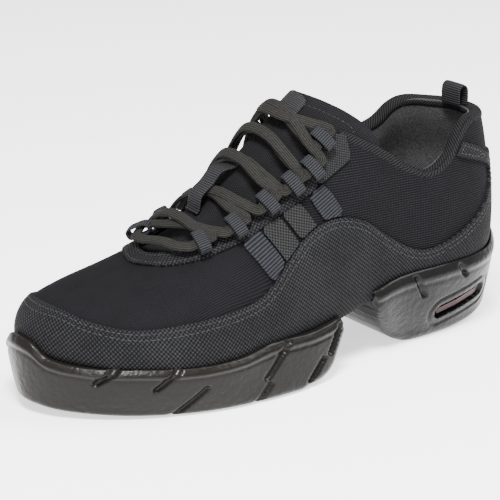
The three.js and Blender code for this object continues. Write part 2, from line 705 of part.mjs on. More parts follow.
const loopSeat = 3 * clearance + Math.max(overlayThick, webThick);
const loopInside = laceThick + 2 * loopRoom;
const loopHigh = loopInside + 2 * webThick;
const laceUp = loopSeat + webThick + loopRoom + laceThick / 2;

function roundedBox(width, height, round) {
  const [w, h] = [width / 2 - round, height / 2 - round];
  const shape = new THREE.Path();
  shape.absarc(w, h, round, 0, Math.PI / 2);
  shape.absarc(-w, h, round, Math.PI / 2, Math.PI);
  shape.absarc(-w, -h, round, Math.PI, 1.5 * Math.PI);
  shape.absarc(w, -h, round, 1.5 * Math.PI, 2 * Math.PI);
  return shape.getPoints(1);
}

const frames = {};
for (const { side, name } of halves)
  LOOPS.forEach((row, i) => {
    frames[`${name}${i}`] = edgeFrame(side, row[name], row[`${name}Out`] * loopOut);
  });

// A folded loop of webbing round the lace's place in a frame.
function loopSolid(frame) {
  const shape = new THREE.Shape(roundedBox(loopReach, loopHigh, 0.4 * loopHigh));
  shape.holes.push(new THREE.Path(roundedBox(loopReach - 2 * webThick, loopInside, 0.4 * loopInside)));
  const g = new THREE.ExtrudeGeometry(shape, { depth: loopLong, bevelEnabled: false });
  const middle = frame.p.clone().addScaledVector(frame.up, loopSeat + loopHigh / 2);
  const place = new THREE.Matrix4().makeBasis(frame.across, frame.up, frame.ahead).setPosition(middle);
  return solidOf(g.translate(0, 0, -loopLong / 2).applyMatrix4(place));
}

// Places of the lace inside a loop: a share of 1 is just past its front end and -1 just past its back end.
const laceReach = loopLong / 2 + laceWide / 2;
const through = (name, shares) => {
  const { p, up, ahead } = frames[name];
  const place = (share) => p.clone().addScaledVector(up, laceUp).addScaledVector(ahead, share * laceReach);
  return shares.map((share) => ({ p: place(share), up }));
};
const frontToBack = [1, 0.5, -0.5, -1];
const startBack = [0.2, -0.5, -1];
const startFront = [-0.2, 0.5, 1];

// A run of the lace through loops in turn, grown all round by grow. bow shifts a crossing's middle ahead, and
// riseOf lifts each crossing.
function laceRun(passes, grow, bow, riseOf) {
  const places = [...passes[0]];
  for (let i = 1; i < passes.length; i++) {
    const [start, stop] = [places[places.length - 1].p, passes[i][0].p];
    for (const share of [0.2, 0.4, 0.6, 0.8]) {
      const hump = Math.sin(Math.PI * share) ** 2;
      const p = start.clone().lerp(stop, share);
      const { point: seat, normal } = lastOver(p.x + bow * hump, p.y);
      places.push({ p: seat.addScaledVector(normal, laceUp + riseOf(i - 1) * hump), up: normal });
    }
    places.push(...passes[i]);
  }
  return ribbon(framesAlong(places, places.length - 1), laceWide + 2 * grow, laceThick + 2 * grow);
}

const sideOf = (first, i) => (i % 2 === 0 ? first : { outer: "inner", inner: "outer" }[first]) + i;
const zigzag = (first) =>
  LOOPS.map((_, i) => {
    const shares = i === 0 ? startBack : i + 1 < LOOPS.length ? frontToBack : frontToBack.slice(0, 2);
    return through(sideOf(first, i), shares);
  });
const dipAtKeeper = (row) => (row === keeperRow ? -laceDip : 0);
const barEnds = [through("outer0", startFront), through("inner0", [...startFront].reverse())];
const topEnds = [through("outer5", startBack), through("inner5", [...startBack].reverse())];
const laceForms = (grow) => [
  laceRun(barEnds, grow, 0, () => 0),
  laceRun(zigzag("outer"), grow, 0, dipAtKeeper),
  laceRun(zigzag("inner"), grow, 0, dipAtKeeper),
  laceRun(topEnds, grow, topBow, () => topRise),
];
const laceRoom = laceForms(clearance);
add("laces", laceForms(0).reduce((all, run) => all.add(run)), cord);
for (const { name } of halves)
  LOOPS.forEach((_, i) => {
    const loop = laceRoom.reduce((rest, run) => rest.subtract(run), loopSolid(frames[`${name}${i}`]));
    add(`loop_${i + 1}_${name}`, loop, webbing);
  });

const keeperUp = laceUp - laceDip + (laceThick + webThick) / 2 + 2 * clearance;
const keeperFoot = tongueRise - tongueSeat + 2 * clearance + webThick / 2;
const keeperPlaces = [-1, -0.9, -0.5, 0, 0.5, 0.9, 1].map((share) => {
  const along = keeperAlong + (share * keeperLong) / 2 / lastLength;
  const seat = lastOver(xAt(along), columnAt(THROAT, "along", "axis", along) * ballWidth);
  const up = Math.abs(share) > 0.8 ? keeperFoot : keeperUp;
  return { p: seat.point.addScaledVector(seat.normal, up), up: seat.normal };
});
add("lace_keeper", ribbon(framesAlong(keeperPlaces, 12), webWidth, webThick), webbing);

// The pull loop, whose legs stand on the collar's back edge

const pullX = xAt(pullAlong);
const pullFoot = collarAt(pullX) - 2 * webThick;
const pullPlaces = [
  [-1, 0],
  [-1.1, 0.45],
  [-0.9, 0.85],
  [0, 1],
  [0.9, 0.85],
  [1.1, 0.45],
  [1, 0],
].map(([share, up]) => ({
  p: new THREE.Vector3(pullX + (share * pullGap) / 2, 0, pullFoot + up * (pullHigh + 2 * webThick)),
  up: new THREE.Vector3(share, 0, up === 1 ? 1 : 0.3),
}));
const pull = ribbon(framesAlong(pullPlaces, 12), pullWide, webThick);
add("pull_loop", pull.intersect(aboveCollar(clearance)), webbing);

// The soles: one form round the last's edge, cut into two pods

// The soles' outer form, grown sideways by grow.
function soleForm(grow) {
  const rings = WALL.map((w) =>
    TURNS.map((turn) => {
      const s = edgeAt(turn);
      const way = 1 - Math.abs(1 - 2 * turn);
      const at = (key) => columnAt(SOLE, "way", key, way);
      const out = (at("foot") + (at("flare") - at("foot")) * w.mix) * soleFlare - w.inset * soleRound + grow;
      const low = at("under") * soleFlare;
      return new THREE.Vector3(s.x + s.outX * out, s.y + s.outY * out, low + (at("top") * soleTop - low) * w.up);
    }),
  );
  return loft(rings, "halves");
}

// A bar with round ends from the side, drawn through along Y, grown all round by grow.
function capsule(grow) {
  const front = point(xAt(SLOT.front), SLOT.frontUp * soleTop);
  const back = point(xAt(SLOT.back), SLOT.backUp * soleTop);
  const lean = Math.atan2(front.y - back.y, front.x - back.x);
  const outline = new THREE.Path();
  outline.absarc(front.x, front.y, grow, lean - Math.PI / 2, lean + Math.PI / 2);
  outline.absarc(back.x, back.y, grow, lean + Math.PI / 2, lean + 1.5 * Math.PI);
  return sideCutter(outline.getPoints(4), -farSide, farSide);
}

const seat = evenForm(2 * clearance + overlayThick);
const skinDeep = (deep) => soleForm(farOut / 10).subtract(soleForm(-deep));
const pods = soleForm(0).subtract(seat);
const foreCut = [...sidePoints(FORE_END, soleTop), point(farOut, 0), point(farOut, farUp), point(xAt(0.455), farUp)];
const heelCut = [...sidePoints(HEEL_END, soleTop), point(-farOut, 0), point(-farOut, farUp), point(xAt(0.37), farUp)];

const slashes = SLASHES.map(({ from, high, to, low }) => {
  const half = slashWide / 2;
  const [a, b] = [point(xAt(from), high * soleTop), point(xAt(to), low * soleTop)];
  const sides = [point(a.x - half, a.y), point(b.x - half, b.y), point(b.x + half, b.y), point(a.x + half, a.y)];
  return sideCutter(sides, -farSide, farSide);
});
const tread = (rows, half) =>
  rows.map((along) => {
    const [x0, x1] = [xAt(along) - treadWide / 2, xAt(along) + treadWide / 2];
    const middle = columnAt(LAST, "along", "lateral", along) + columnAt(LAST, "along", "medial", along);
    const y = (middle * ballWidth) / 2;
    return planCutter(box(x0, x1, y - half, y + half), -1, treadDeep);
  });

let fore = pods.intersect(sideCutter(foreCut, -farSide, farSide));
const groove = skinDeep(grooveDeep);
for (const slash of slashes) fore = fore.subtract(slash.intersect(groove));
for (const cut of tread(FORE_TREAD, 0.3 * ballWidth)) fore = fore.subtract(cut);
add("sole_fore", fore, soleGloss);

const slotFloor = skinDeep(slotDeep);
const ringGroove = capsule(slotHigh / 2 + 3 * grooveDeep).subtract(capsule(slotHigh / 2 + 2 * grooveDeep));
let heel = pods.intersect(sideCutter(heelCut, -farSide, farSide));
heel = heel.subtract(capsule(slotHigh / 2).intersect(slotFloor));
heel = heel.subtract(ringGroove.intersect(skinDeep(grooveDeep / 2)));
for (const cut of tread(HEEL_TREAD, 0.14 * ballWidth)) heel = heel.subtract(cut);
add("sole_heel", heel, soleGloss);

const barSkin = soleForm(-grooveDeep).subtract(soleForm(-slotDeep + clearance)).intersect(capsule(barHigh / 2));
for (const { name, half } of halves) add(`slot_bar_${name}`, barSkin.intersect(half), slotTint);

export default shoe;
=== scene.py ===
import math

import bmesh
import bpy
import numpy as np
from mathutils import Matrix, Vector


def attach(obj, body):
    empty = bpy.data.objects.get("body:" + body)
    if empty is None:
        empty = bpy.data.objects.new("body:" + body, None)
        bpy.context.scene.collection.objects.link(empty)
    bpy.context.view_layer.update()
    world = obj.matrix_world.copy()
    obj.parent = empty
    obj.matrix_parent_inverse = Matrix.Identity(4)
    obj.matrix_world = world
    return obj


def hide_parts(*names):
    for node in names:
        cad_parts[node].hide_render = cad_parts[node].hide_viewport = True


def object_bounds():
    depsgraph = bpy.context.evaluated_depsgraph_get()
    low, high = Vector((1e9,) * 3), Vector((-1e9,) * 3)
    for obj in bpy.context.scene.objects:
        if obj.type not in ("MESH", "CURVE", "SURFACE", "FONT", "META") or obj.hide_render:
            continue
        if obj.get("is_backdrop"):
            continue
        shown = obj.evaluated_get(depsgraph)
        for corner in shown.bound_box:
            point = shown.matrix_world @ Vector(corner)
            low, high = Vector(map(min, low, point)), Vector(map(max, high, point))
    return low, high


# A low black dance sneaker, left shoe, in metres: +X to the toe, +Y to the outer side, z = 0 the floor.
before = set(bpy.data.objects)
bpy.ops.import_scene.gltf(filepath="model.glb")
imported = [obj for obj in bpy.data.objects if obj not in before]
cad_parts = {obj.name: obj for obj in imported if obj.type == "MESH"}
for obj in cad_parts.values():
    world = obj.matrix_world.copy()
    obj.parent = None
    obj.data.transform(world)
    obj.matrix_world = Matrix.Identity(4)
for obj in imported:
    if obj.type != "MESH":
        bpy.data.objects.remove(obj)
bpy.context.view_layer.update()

# The upper: a soft woven textile shell, pulled over a last and closed underneath by a board.
# Its sections run up from the last's bottom edge to a crest line. Every layer that is sewn on it takes
# its place from the same sections, a little further out.
last_length = 0.259
ball_width = 0.09
heel_lift = 0.033
crest_height = 0.15
feather_round = 0.007
heel_reach = 0.044
wall = 0.0024
collar_pad = 0.004
collar_tilt = 0.13
clearance = 0.0003
ROUND_ROWS = 2
SIDE_ROWS = 8
ROWS = ROUND_ROWS + SIDE_ROWS


def table(names, *rows):
    """A short table as named columns."""
    return dict(zip(names.split(), np.array(rows, float).T))


# Lengths along are shares of last_length, widths of ball_width, and heights of heel_lift or crest_height.
LAST = table(
    "along lateral medial lift bulge side top crest_along crest_across crest",
    (0, 0, 0, 1, 0.03, 2.9, 2.3, 0.17, 0, 1.08),
    (0.022, 0.2, -0.2, 1, 0.035, 2.9, 2.3, 0.178, 0, 1.08),
    (0.085, 0.325, -0.33, 1, 0.04, 2.9, 2.3, 0.216, 0, 1.07),
    (0.18, 0.375, -0.365, 1, 0.03, 2.8, 2.3, 0.266, 0, 1.045),
    (0.29, 0.375, -0.35, 1, 0.02, 2.6, 2.1, 0.336, -0.005, 0.985),
    (0.4, 0.405, -0.33, 0.84, 0.012, 2.3, 1.9, 0.425, -0.02, 0.88),
    (0.51, 0.45, -0.36, 0.65, 0.014, 2.1, 1.75, 0.525, -0.035, 0.735),
    (0.62, 0.485, -0.44, 0.53, 0.02, 2.1, 1.7, 0.62, -0.05, 0.58),
    (0.72, 0.495, -0.5, 0.48, 0.025, 2.2, 1.8, 0.707, -0.07, 0.48),
    (0.81, 0.44, -0.51, 0.5, 0.025, 2.4, 2, 0.78, -0.09, 0.42),
    (0.9, 0.31, -0.47, 0.57, 0.02, 2.6, 2.4, 0.846, -0.11, 0.383),
    (0.97, 0.11, -0.34, 0.68, 0.015, 2.8, 2.6, 0.888, -0.12, 0.366),
    (1, -0.11, -0.11, 0.74, 0.01, 2.9, 2.7, 0.903, -0.12, 0.358),
)
COLLAR = table(
    "along up",
    (-0.12, 0.745),
    (0.03, 0.75),
    (0.09, 0.755),
    (0.125, 0.728),
    (0.16, 0.67),
    (0.21, 0.641),
    (0.26, 0.672),
    (0.31, 0.728),
    (0.375, 0.788),
    (0.42, 0.812),
    (0.5, 0.83),
)
THROAT = table(
    "along axis half",
    (0.757, -0.075, 0),
    (0.752, -0.075, 0.07),
    (0.735, -0.073, 0.145),
    (0.71, -0.067, 0.192),
    (0.68, -0.055, 0.215),
    (0.62, -0.035, 0.235),
    (0.55, -0.012, 0.233),
    (0.48, 0.007, 0.228),
    (0.41, 0.013, 0.224),
    (0.34, 0.01, 0.22),
)


def smooth_step(low, high, value):
    f = np.clip((value - low) / (high - low), 0, 1)
    return f * f * (3 - 2 * f)


def column_at(rows, by, key, place):
    """A smooth curve through a table: the column key where the column by has the value place."""
    order = np.argsort(rows[by])
    xs, ys = rows[by][order], rows[key][order]
    slopes = np.empty_like(ys)
    slopes[1:-1] = (ys[2:] - ys[:-2]) / (xs[2:] - xs[:-2])
    slopes[0] = (ys[1] - ys[0]) / (xs[1] - xs[0])
    slopes[-1] = (ys[-1] - ys[-2]) / (xs[-1] - xs[-2])
    i = np.clip(np.searchsorted(xs, place) - 1, 0, len(xs) - 2)
    width = xs[i + 1] - xs[i]
    f = np.clip((place - xs[i]) / width, 0, 1)
    h = f * f * (3 - 2 * f)
    bend = f * (1 - f) * ((1 - f) * slopes[i] - f * slopes[i + 1]) * width
    return ys[i] * (1 - h) + ys[i + 1] * h + bend


def x_at(along):
    return along * last_length - heel_reach


def along_at(x):
    return (x + heel_reach) / last_length


def station_at(turn):
    """A section of the last at turn, which runs once round its bottom edge: 0 is the heel, 0.5 the toe."""
    rows = len(LAST["along"]) - 1
    place = np.mod(turn, 1) * 2 * rows
    first = np.floor(place).astype(int)
    f = place - first
    station = {}
    for key in ("along", "across", "lift", "bulge", "side", "top", "crest_along", "crest_across", "crest"):
        near = []
        for k in (first - 1, first, first + 1, first + 2):
            wrapped = np.mod(k, 2 * rows)
            n = np.where(wrapped <= rows, wrapped, 2 * rows - wrapped)
            if key == "across":
                near.append(np.where(wrapped <= rows, LAST["lateral"][n], LAST["medial"][n]))
            else:
                near.append(LAST[key][n])
        p0, p1, p2, p3 = near
        curve = (2 * p0 - 5 * p1 + 4 * p2 - p3) * f * f + (3 * p1 - p0 - 3 * p2 + p3) * f**3
        station[key] = 0.5 * (2 * p1 + (p2 - p0) * f + curve)
    return station


def edge_at(turn):
    """The last's bottom edge at turn, with its outward direction in plan."""
    step = 0.004
    before, after, here = station_at(turn - step), station_at(turn + step), station_at(turn)
    dx = (after["along"] - before["along"]) * last_length
    dy = (after["across"] - before["across"]) * ball_width
    run = np.hypot(dx, dy)
    place = {"x": x_at(here["along"]), "y": here["across"] * ball_width, "z": here["lift"] * heel_lift}
    return {**here, **place, "out_x": -dy / run, "out_y": dx / run}


def last_point(turn, row):
    """A point of the last: row 0 is tucked under, ROUND_ROWS tops the rounded edge and ROWS is the crest."""
    s = edge_at(turn)
    bend = np.clip(row / ROUND_ROWS, 0, 1) * math.pi / 2
    inset = feather_round * (1 - np.sin(bend))
    rise = feather_round * (1 - np.cos(bend))
    a = np.clip((row - ROUND_ROWS) / SIDE_ROWS, 0, 1) * math.pi / 2
    inwards = 1 - np.maximum(0, np.cos(a)) ** (2 / s["side"])
    up = np.sin(a) ** (2 / s["top"])
    out = s["bulge"] * ball_width * np.sin(math.pi * np.sqrt(up)) - inset
    x = s["x"] + (x_at(s["crest_along"]) - s["x"]) * inwards + s["out_x"] * out
    y = s["y"] + (s["crest_across"] * ball_width - s["y"]) * inwards + s["out_y"] * out
    z = s["z"] + rise + (s["crest"] * crest_height - s["z"] - feather_round) * up
    return np.stack(np.broadcast_arrays(x, y, z), -1)


def unit(vectors):
    return vectors / np.linalg.norm(vectors, axis=-1, keepdims=True)


def last_normal(turn, row):
    """The last's outward direction. On the crest it is the mean of both flanks."""
    step = 0.003

    def flank(at):
        held = np.minimum(row, ROWS - 0.05)
        along = last_point(at + step, held) - last_point(at - step, held)
        up = last_point(at, held + 0.04) - last_point(at, np.maximum(0, held - 0.04))
        return unit(np.cross(up, along))

    near = np.asarray(row > ROWS - 0.01)[..., None]
    return unit(np.where(near, flank(turn) + flank(1 - turn), flank(turn)))


def sheet(spots, cloth=None):
    """A skin through a grid of spots, rows by columns. cloth holds each spot's place on the flat cloth."""
    rows, columns = spots.shape[0] - 1, spots.shape[1] - 1
    if cloth is None:
        steps_up = np.linalg.norm(np.diff(spots, axis=0), axis=-1)
        steps_round = np.linalg.norm(np.diff(spots, axis=1), axis=-1)
        up = np.vstack([np.zeros(columns + 1), np.cumsum(steps_up, 0)])
        around = np.hstack([np.zeros((rows + 1, 1)), np.cumsum(steps_round, 1)])
        cloth = np.stack([np.broadcast_to(around[rows // 3], up.shape), up], -1)
    bm = bmesh.new()
    layer = bm.loops.layers.uv.new("cloth")
    bmesh.ops.create_grid(bm, x_segments=columns, y_segments=rows, size=1)
    at = {}
    for v in bm.verts:
        at[v] = (round((v.co.y + 1) / 2 * rows), round((v.co.x + 1) / 2 * columns))
        v.co = spots[at[v]]
    for face in bm.faces:
        face.smooth = True
        for corner in face.loops:
            corner[layer].uv = cloth[at[corner.vert]]
    bmesh.ops.remove_doubles(bm, verts=bm.verts, dist=2e-6)
    return bm


def face_out(bm, middle_z):
    """Turns an open skin's faces away from the shoe's long middle line."""
    bm.normal_update()
    side = 0
    for face in bm.faces:
        centre = face.calc_center_median()
        side += face.normal.dot(Vector((0, centre.y, centre.z - middle_z))) * face.calc_area()
    if side < 0:
        bmesh.ops.reverse_faces(bm, faces=bm.faces)


def turns_round(columns):
    """Turns once round the last's edge, closer together at the heel and the toe, where it bends most."""
    share = np.linspace(0, 1, columns + 1)
    return share - 0.045 * np.sin(4 * math.pi * share)


SKIN_COLUMNS = 380
skin_turns = turns_round(SKIN_COLUMNS)
skin_rows = np.concatenate([np.linspace(0, ROUND_ROWS, 6)[:-1], np.linspace(ROUND_ROWS, ROWS, 58)])[:, None]
skin_out = last_normal(skin_turns, skin_rows)
skin_bare = last_point(skin_turns, skin_rows)

# Soft troughs (below 0) and ridges (above 0) that wear and packing leave, in shares and in mm of depth
CREASES = table(
    "along across up run lean wide deep",
    (0.6, 0.42, 0.3, 0.1, 0.5, 0.026, -0.5),
    (0.3, 0.4, 0.42, 0.12, 0.15, 0.03, -0.9),
    (0.25, 0.4, 0.56, 0.1, 0.1, 0.022, 0.6),
    (0.12, 0.33, 0.55, 0.05, -0.5, 0.02, -0.7),
    (0.4, 0.4, 0.62, 0.07, 0.8, 0.018, 0.5),
    (0.83, 0.15, 0.36, 0.1, 0.2, 0.03, -0.5),
    (0.8, -0.3, 0.33, 0.08, -0.3, 0.026, 0.5),
    (0.3, -0.36, 0.45, 0.12, 0.1, 0.028, -0.8),
    (0.5, -0.36, 0.4, 0.08, 0.6, 0.022, -0.6),
)


def crease_depth(spots):
    """How far the cloth lies over the last, by its creases."""
    depth = np.zeros(spots.shape[:-1])
    for i in range(len(CREASES["along"])):
        c = {key: column[i] for key, column in CREASES.items()}
        middle = np.array([x_at(c["along"]), c["across"] * ball_width, c["up"] * crest_height])
        away = spots - middle
        run = np.array([math.cos(c["lean"]), 0, math.sin(c["lean"])])
        along = away @ run
        across = np.linalg.norm(away - along[..., None] * run, axis=-1)
        reach = c["run"] * last_length
        depth += c["deep"] / 1000 * np.exp(-((along / reach) ** 2) - (across / c["wide"]) ** 2)
    return depth


skin_bare = skin_bare + skin_out * crease_depth(skin_bare)[..., None]
climb = np.vstack(
    [np.zeros(SKIN_COLUMNS + 1), np.cumsum(np.linalg.norm(np.diff(skin_bare, axis=0), axis=-1), 0)]
)
girth_steps = np.linalg.norm(np.diff(skin_bare[12], axis=0), axis=-1)
girth = np.concatenate([[0], np.cumsum(girth_steps)])
skin_cloth = np.stack([np.broadcast_to(girth, climb.shape), climb], -1)


def last_skin(offset):
    """The last's skin, grown outwards by offset, a number or a grid of them."""
    bm = sheet(skin_bare + skin_out * np.broadcast_to(offset, climb.shape)[..., None], skin_cloth)
    face_out(bm, 0.4 * crest_height)
    return bm


def curve_of(points, count):
    """A smooth line through points, in count steps."""
    points = np.array(points, float)
    place = np.linspace(0, len(points) - 1, count + 1)
    i = np.minimum(place.astype(int), len(points) - 2)
    f = (place - i)[:, None]
    p0, p1 = points[np.maximum(i - 1, 0)], points[i]
    p2, p3 = points[i + 1], points[np.minimum(i + 2, len(points) - 1)]
    bend = (2 * p0 - 5 * p1 + 4 * p2 - p3) * f * f + (3 * p1 - p0 - 3 * p2 + p3) * f**3
    return 0.5 * (2 * p1 + (p2 - p0) * f + bend)


def outside(outline, spots):
    """How far flat spots lie outside a closed outline: below 0 inside it."""
    a = np.array(outline, float)
    b = np.roll(a, -1, 0)
    edge = b - a
    away = spots[:, None, :] - a[None]
    share = np.clip((away * edge).sum(-1) / (edge * edge).sum(-1), 0, 1)
    gap = np.linalg.norm(away - share[..., None] * edge, axis=-1).min(1)
    rise = np.where(edge[:, 1] == 0, 1, edge[:, 1])
    over = (a[:, 1] > spots[:, 1, None]) != (b[:, 1] > spots[:, 1, None])
    ahead = spots[:, 0, None] < edge[:, 0] * (spots[:, 1, None] - a[:, 1]) / rise + a[:, 0]
    inside = (over & ahead).sum(1) % 2 == 1
    return np.where(inside, -gap, gap)


def trim(bm, field):
    """Cuts a skin along the line where field is 0 and keeps the side where it is below 0."""
    bm.verts.index_update()
    level = field(np.array([v.co[:] for v in bm.verts]))
    levels = {v: float(value) for v, value in zip(bm.verts, level)}
    far = [f for f in bm.faces if min(levels[v] for v in f.verts) > 0]
    bmesh.ops.delete(bm, geom=far, context="FACES")
    cut = set()
    for edge in bm.edges[:]:
        a, b = edge.verts
        if (levels[a] < 0) != (levels[b] < 0):
            share = levels[a] / (levels[a] - levels[b])
            _, vert = bmesh.utils.edge_split(edge, a, min(0.999, max(0.001, share)))
            cut.add(vert)
    for face in bm.faces[:]:
        corners = [v for v in face.verts if v in cut]
        for first, second in zip(corners[::2], corners[1::2]):
            held = next((f for f in first.link_faces if f in second.link_faces), None)
            if held and len(held.verts) > 3:
                bmesh.utils.face_split(held, first, second)
    waste = [f for f in bm.faces if sum(levels.get(v, 0) for v in f.verts) > 0]
    bmesh.ops.delete(bm, geom=waste, context="FACES")
    loose = [v for v in bm.verts if not v.link_faces]
    bmesh.ops.delete(bm, geom=loose, context="VERTS")
    short = [v for v in bm.verts if v.is_boundary]
    bmesh.ops.remove_doubles(bm, verts=short, dist=6e-5)
    return bm


def collar_up(x):
    return column_at(COLLAR, "along", "up", along_at(x)) * crest_height


def tilt_at(x):
    return collar_tilt * smooth_step(0.08, 0.22, along_at(x))


far_up = 0.22
collar_line = curve_of(np.stack([x_at(COLLAR["along"]), COLLAR["up"] * crest_height], -1), 90)
over_collar = [*collar_line, (x_at(0.5), far_up), (x_at(-0.12), far_up)]
ankle_box = [
    (x_at(0.33), 0.775 * crest_height),
    (x_at(0.5), 0.775 * crest_height),
    (x_at(0.5), far_up),
    (x_at(0.33), far_up),
]


def throat_outline(grow, back):
    """The throat's outline from above, grown by grow, from its outer side round its front to the inner."""
    x = x_at(THROAT["along"])
    outer = np.stack([x, (THROAT["axis"] + THROAT["half"]) * ball_width], -1)
    inner = np.stack([x, (THROAT["axis"] - THROAT["half"]) * ball_width], -1)
    line = curve_of([*outer[:0:-1], *inner], 120)
    run = unit(np.gradient(line, axis=0))
    line = line + np.stack([-run[:, 1], run[:, 0]], -1) * grow
    kept = line[line[:, 0] > back + clearance]
    return [(back, kept[0][1]), *kept, (back, kept[-1][1])]


def from_side(spots, tilted=False):
    drop = tilt_at(spots[:, 0]) * spots[:, 1] if tilted else 0
    return np.stack([spots[:, 0], spots[:, 2] + drop], -1)


throat = throat_outline(0, x_at(0.3))


def in_openings(spots):
    """How far spots lie outside the collar's and the throat's openings."""
    by_collar = outside(over_collar, from_side(spots, True))
    by_throat = outside(throat, spots[:, :2])
    by_ankle = outside(ankle_box, from_side(spots))
    return np.minimum(np.minimum(by_collar, by_throat), by_ankle)


def piece(name, bm, *materials):
    """A named object of the scene from a bmesh."""
    mesh = bpy.data.meshes.new(name)
    bm.to_mesh(mesh)
    bm.free()
    made = bpy.data.objects.new(name, mesh)
    bpy.context.scene.collection.objects.link(made)
    for material in materials:
        mesh.materials.append(material)
    return made


def thicken(made, thick, round_edge=0.0, segments=2):
    """Gives a skin its thickness inwards, with its edges rounded off."""
    solid = made.modifiers.new("thickness", "SOLIDIFY")
    solid.thickness = thick
    solid.offset = -1
    solid.use_even_offset = False
    if round_edge:
        bevel = made.modifiers.new("soft edge", "BEVEL")
        bevel.width = round_edge
        bevel.segments = segments
        bevel.limit_method = "ANGLE"
        bevel.angle_limit = math.radians(50)


def node(tree, kind, inputs=(), **settings):
    """A shader node with its settings, its inputs joined to sockets or set to values."""
    made = tree.nodes.new("ShaderNode" + kind)
    for key, value in settings.items():
        setattr(made, key, value)
    for key, value in dict(inputs).items():
        if isinstance(value, bpy.types.NodeSocket):
            tree.links.new(value, made.inputs[key])
        else:
            made.inputs[key].default_value = value
    return made


def maths(tree, operation, *values):
    return node(tree, "Math", enumerate(values), operation=operation).outputs[0]


def blank(name, colour, roughness, specular=0.5, sheen=0.0):
    """A material with its tree and its shader."""
    material = bpy.data.materials.new(name)
    material.use_nodes = True
    tree = material.node_tree
    shader = tree.nodes["Principled BSDF"]
    shader.inputs["Base Color"].default_value = (*colour, 1)
    shader.inputs["Roughness"].default_value = roughness
    shader.inputs["Specular IOR Level"].default_value = specular
    shader.inputs["Sheen Weight"].default_value = sheen
    return material, tree, shader


def object_axes(tree):
    """Places on the shoe in metres, as one vector and as its three parts."""
    place = node(tree, "TexCoord").outputs["Object"]
    return place, node(tree, "SeparateXYZ", {"Vector": place}).outputs


def cloth_axes(tree):
    """Places on the flat cloth in metres, as their two parts."""
    cloth = node(tree, "UVMap", uv_map="cloth").outputs[0]
    return node(tree, "SeparateXYZ", {"Vector": cloth}).outputs


def mixed(tree, share, first, second):
    """A colour that turns from first to second with share."""
    return node(tree, "Mix", {0: share, 6: first, 7: second}, data_type="RGBA").outputs[2]


def ripple(tree, place, pitch):
    """Even threads: a wave from 0 to 1 along place, one for each pitch."""
    angle = maths(tree, "MULTIPLY", place, 2 * math.pi / pitch)
    return maths(tree, "MULTIPLY_ADD", maths(tree, "SINE", angle), 0.5, 0.5)


def plain_weave(tree, u, v, pitch):
    """Over and under threads of a plain weave, from 0 to 1."""
    su = maths(tree, "SINE", maths(tree, "MULTIPLY", u, 2 * math.pi / pitch))
    sv = maths(tree, "SINE", maths(tree, "MULTIPLY", v, 2 * math.pi / pitch))
    return maths(tree, "MULTIPLY_ADD", maths(tree, "MULTIPLY", su, sv), 0.5, 0.5)


def uneven(tree, place, size, detail=3.0):
    """Soft blotches of about size."""
    made = node(tree, "TexNoise", {"Vector": place, "Scale": 1 / size, "Detail": detail})
    return made.outputs["Fac"]


def dress(tree, shader, height, deep, dark, light, contrast=(0.35, 0.95)):
    """Colours a cloth from its threads' height, and raises them by deep."""
    ramp = node(tree, "ValToRGB", {"Fac": height})
    ramp.color_ramp.elements[0].position = contrast[0]
    ramp.color_ramp.elements[0].color = (*dark, 1)
    ramp.color_ramp.elements[1].position = contrast[1]
    ramp.color_ramp.elements[1].color = (*light, 1)
    tree.links.new(ramp.outputs["Color"], shader.inputs["Base Color"])
    bump = node(tree, "Bump", {"Height": height, "Distance": deep, "Strength": 1.0})
    tree.links.new(bump.outputs["Normal"], shader.inputs["Normal"])


canvas, tree, shader = blank("quarter_canvas", (0.005, 0.005, 0.006), 0.85, 0.06)
place, axes = object_axes(tree)
rib_pitch = 0.0012
warp_pitch = 0.0016
vamp_pitch = 0.0014
warp = maths(tree, "MULTIPLY_ADD", ripple(tree, axes[0], warp_pitch), 0.35, 0.65)
ribs = maths(tree, "MULTIPLY", ripple(tree, axes[2], rib_pitch), warp)
diagonal = maths(tree, "ADD", axes[0], axes[1])
other = maths(tree, "SUBTRACT", axes[0], axes[1])
twill = plain_weave(tree, diagonal, other, vamp_pitch)
vamp_back = x_at(0.56)
vamp_blend = 0.006
vamp_ends = {"From Min": vamp_back - vamp_blend, "From Max": vamp_back + vamp_blend}
vamp_range = {"Value": axes[0], **vamp_ends}
front = node(tree, "MapRange", vamp_range, interpolation_type="SMOOTHSTEP").outputs[0]
weave = node(tree, "Mix", {0: front, 2: ribs, 3: twill}, data_type="FLOAT").outputs[0]
blotch = uneven(tree, place, 0.012)
weave = maths(tree, "MULTIPLY", weave, maths(tree, "MULTIPLY_ADD", blotch, 0.5, 0.75))
dress(tree, shader, weave, 0.00025, (0.0025, 0.0025, 0.003), (0.0105, 0.0102, 0.012))

upper = piece("upper_shell", trim(last_skin(0.0), lambda s: -in_openings(s)), canvas)
thicken(upper, 0.0011, 0.0003)
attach(upper, "root")
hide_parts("upper")

# The lining: a soft brushed knit over foam that swells round the ankle, sewn to the shell at the collar.
# It stands the wall's full thickness inside the last's skin, and the insole covers its lower edge.
lining_thick = 0.0008


def pad_share(spots):
    depth = collar_up(spots[..., 0]) - tilt_at(spots[..., 0]) * spots[..., 1] - spots[..., 2]
    back = 1 - smooth_step(0.2, 0.29, along_at(spots[..., 0]))
    return back * (1 - smooth_step(0.008, 0.034, depth))


